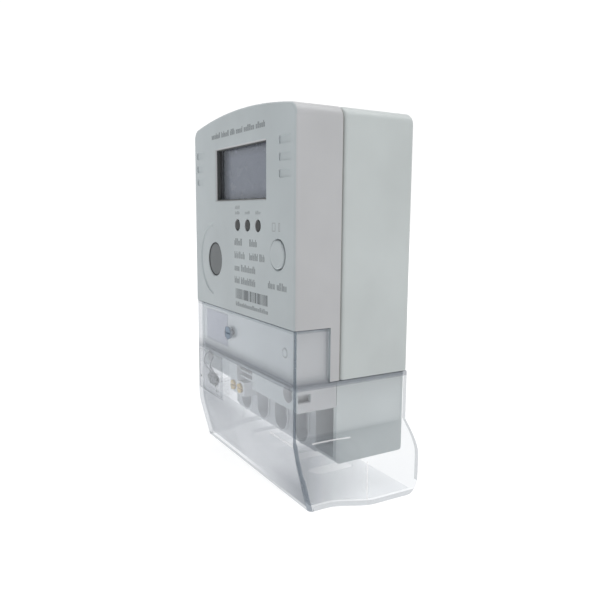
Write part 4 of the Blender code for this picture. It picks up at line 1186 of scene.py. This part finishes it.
def seal_strand(name, phase, replaces):
    """One of the two strands twisted round the loop's route."""
    route = smooth_route(WIRE_ROUTE, 10)
    curve = bpy.data.curves.new(name, "CURVE")
    curve.dimensions = "3D"
    curve.bevel_depth = STRAND_RADIUS * MM
    curve.bevel_resolution = 2
    curve.use_fill_caps = True
    spline = curve.splines.new("POLY")
    spline.points.add(len(route) - 1)
    travelled = 0.0
    for i, place in enumerate(route):
        ahead = route[min(i + 1, len(route) - 1)]
        behind = route[max(i - 1, 0)]
        along = (ahead - behind).normalized()
        side = along.cross(Vector((0.0, 1.0, 0.0))).normalized()
        other = along.cross(side)
        if i:
            travelled += (place - route[i - 1]).length
        angle = travelled * STRAND_TWIST + phase
        spot = place + STRAND_OFFSET * (side * math.cos(angle) + other * math.sin(angle))
        spline.points[i].co = (spot.x * MM, spot.y * MM + FRONT_Y, spot.z * MM, 1.0)
    piece = bpy.data.objects.new(name, curve)
    bpy.context.scene.collection.objects.link(piece)
    curve.materials.append(LIBRARY["wire_grey"])
    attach(piece, "meter")
    if replaces:
        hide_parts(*replaces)


def crimped_seal():
    """A lead slug squeezed flat by the sealing tool, with the tool's plain ring pressed in it."""
    bm = bmesh.new()
    bmesh.ops.create_uvsphere(bm, u_segments=48, v_segments=24, radius=1.0)
    for vert in bm.verts:
        flat = math.hypot(vert.co.x, vert.co.z)
        press = 0.72 if flat < 0.62 else 1.0
        rim = 0.08 * math.exp(-((flat - 0.72) ** 2) / 0.004)
        vert.co.y = vert.co.y * press + math.copysign(rim, vert.co.y)
    size = Matrix.Diagonal((*SEAL_HALF_SIZES, 1.0))
    tilt = Matrix.Rotation(SEAL_TILT, 4, "Y")
    bmesh.ops.transform(bm, matrix=Matrix.Translation(SEAL_CENTRE) @ tilt @ size, verts=bm.verts)
    finish_piece(to_object("crimped_seal", bm), "meter", ["lead"], ["lead_seal"], angle=60.0)


# ---------------- stage


# Places and sizes are metres here, angles are degrees and the lens is millimetres
CAMERA_PLACE = (0.2757, -0.1896, 0.0322)
CAMERA_YAW, CAMERA_PITCH, CAMERA_ROLL = 59.35, -7.86, 0.42
CAMERA_LENS = 36.9

# Each light: name, place, size, watts and colour
LIGHTS = (
    ("top_light", (0.25, 0.15, 1.8), (2.0, 2.0), 32.0, (1.0, 1.0, 1.0)),
    ("side_light", (0.95, 0.1, 0.3), (0.7, 0.9), 0.4, (1.0, 0.99, 0.98)),
    ("front_light", (-0.35, -0.9, 0.25), (0.8, 0.8), 0.8, (0.75, 0.96, 1.0)),
)
LIGHT_TARGET = Vector((0.0, -0.03, -0.01))
FLOOR_HALF = 4.0
FLOOR_GAP = 0.0006


def add_camera():
    yaw, pitch, roll = (math.radians(v) for v in (CAMERA_YAW, CAMERA_PITCH, CAMERA_ROLL))
    ahead = Vector((-math.sin(yaw) * math.cos(pitch), math.cos(yaw) * math.cos(pitch), math.sin(pitch)))
    level = Vector((math.cos(yaw), math.sin(yaw), 0.0))
    above = level.cross(ahead)
    right = level * math.cos(roll) + above * math.sin(roll)
    top = above * math.cos(roll) - level * math.sin(roll)
    data = bpy.data.cameras.new("camera")
    data.sensor_width = 36.0
    data.lens = CAMERA_LENS
    data.clip_start = 0.01
    camera = bpy.data.objects.new("camera", data)
    turn = Matrix((right, top, -ahead)).transposed().to_4x4()
    camera.matrix_world = Matrix.Translation(CAMERA_PLACE) @ turn
    bpy.context.scene.collection.objects.link(camera)
    bpy.context.scene.camera = camera


def background(tree, colour, strength):
    node = tree.nodes.new("ShaderNodeBackground")
    node.inputs["Color"].default_value = (*colour, 1.0)
    node.inputs["Strength"].default_value = strength
    return node.outputs[0]


def add_world():
    """White where the camera or a reflection meets it, and only a weak, even light otherwise."""
    world = bpy.data.worlds.new("studio")
    bpy.context.scene.world = world
    world.use_nodes = True
    tree = world.node_tree
    tree.nodes.clear()
    lit = background(tree, (0.97, 0.985, 1.0), 0.12)
    seen = background(tree, (1.0, 1.0, 1.0), 1.05)
    rays = tree.nodes.new("ShaderNodeLightPath")
    met = tree.nodes.new("ShaderNodeMath")
    met.operation = "MAXIMUM"
    mix = tree.nodes.new("ShaderNodeMixShader")
    output = tree.nodes.new("ShaderNodeOutputWorld")
    link = tree.links.new
    link(rays.outputs["Is Camera Ray"], met.inputs[0])
    link(rays.outputs["Is Glossy Ray"], met.inputs[1])
    link(met.outputs[0], mix.inputs[0])
    link(lit, mix.inputs[1])
    link(seen, mix.inputs[2])
    link(mix.outputs[0], output.inputs["Surface"])


def softbox(name, place, size, watts, colour):
    """A rectangular light that faces the meter."""
    data = bpy.data.lights.new(name, "AREA")
    data.shape = "RECTANGLE"
    data.size, data.size_y = size
    data.energy = watts
    data.color = colour
    lamp = bpy.data.objects.new(name, data)
    lamp.location = place
    lamp.rotation_euler = (LIGHT_TARGET - Vector(place)).to_track_quat("-Z", "Y").to_euler()
    bpy.context.scene.collection.objects.link(lamp)


def floor_pale():
    """Pale, matt floor that glows white towards its edges."""
    made = Shader("floor_pale")
    made.set("Base Color", made.blend(made.noise(3.0), (0.35, 0.35, 0.35), (0.36, 0.36, 0.36)))
    made.set("Roughness", 0.9)
    made.set("Specular IOR Level", 0.1)
    made.set("Emission Color", (1.0, 1.0, 1.0))
    reach = made.add("ShaderNodeVectorMath", operation="LENGTH")
    made.link(made.place, reach.inputs[0])
    made.set("Emission Strength", made.remap(reach.outputs["Value"], 0.25, 0.9, 0.82, 1.05))
    return made.material


def add_floor():
    z = CAD_BOX[0][2] - FLOOR_GAP
    corners = ((-1, -1), (1, -1), (1, 1), (-1, 1))
    mesh = bpy.data.meshes.new("floor")
    mesh.from_pydata([(x * FLOOR_HALF, y * FLOOR_HALF, z) for x, y in corners], [], [range(4)])
    mesh.materials.append(floor_pale())
    floor = bpy.data.objects.new("floor", mesh)
    bpy.context.scene.collection.objects.link(floor)
    floor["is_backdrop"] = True


def add_stage():
    add_camera()
    add_world()
    for settings in LIGHTS:
        softbox(*settings)
    add_floor()
    bpy.context.scene.view_settings.view_transform = "Standard"


def rows(box):
    return [[float(value) for value in corner] for corner in box]


add_stage()
paint_frame()
front_shell()
base_shell()
block_piece()
cover_shell()
front_print()
lcd_shade_liner()
port_shade_liner()
film_print()
seal_strand("seal_strand_a", 0.0, ["seal_wire"])
seal_strand("seal_strand_b", math.pi, [])
crimped_seal()

{"cad": rows(CAD_BOX), "visual": rows(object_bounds())}
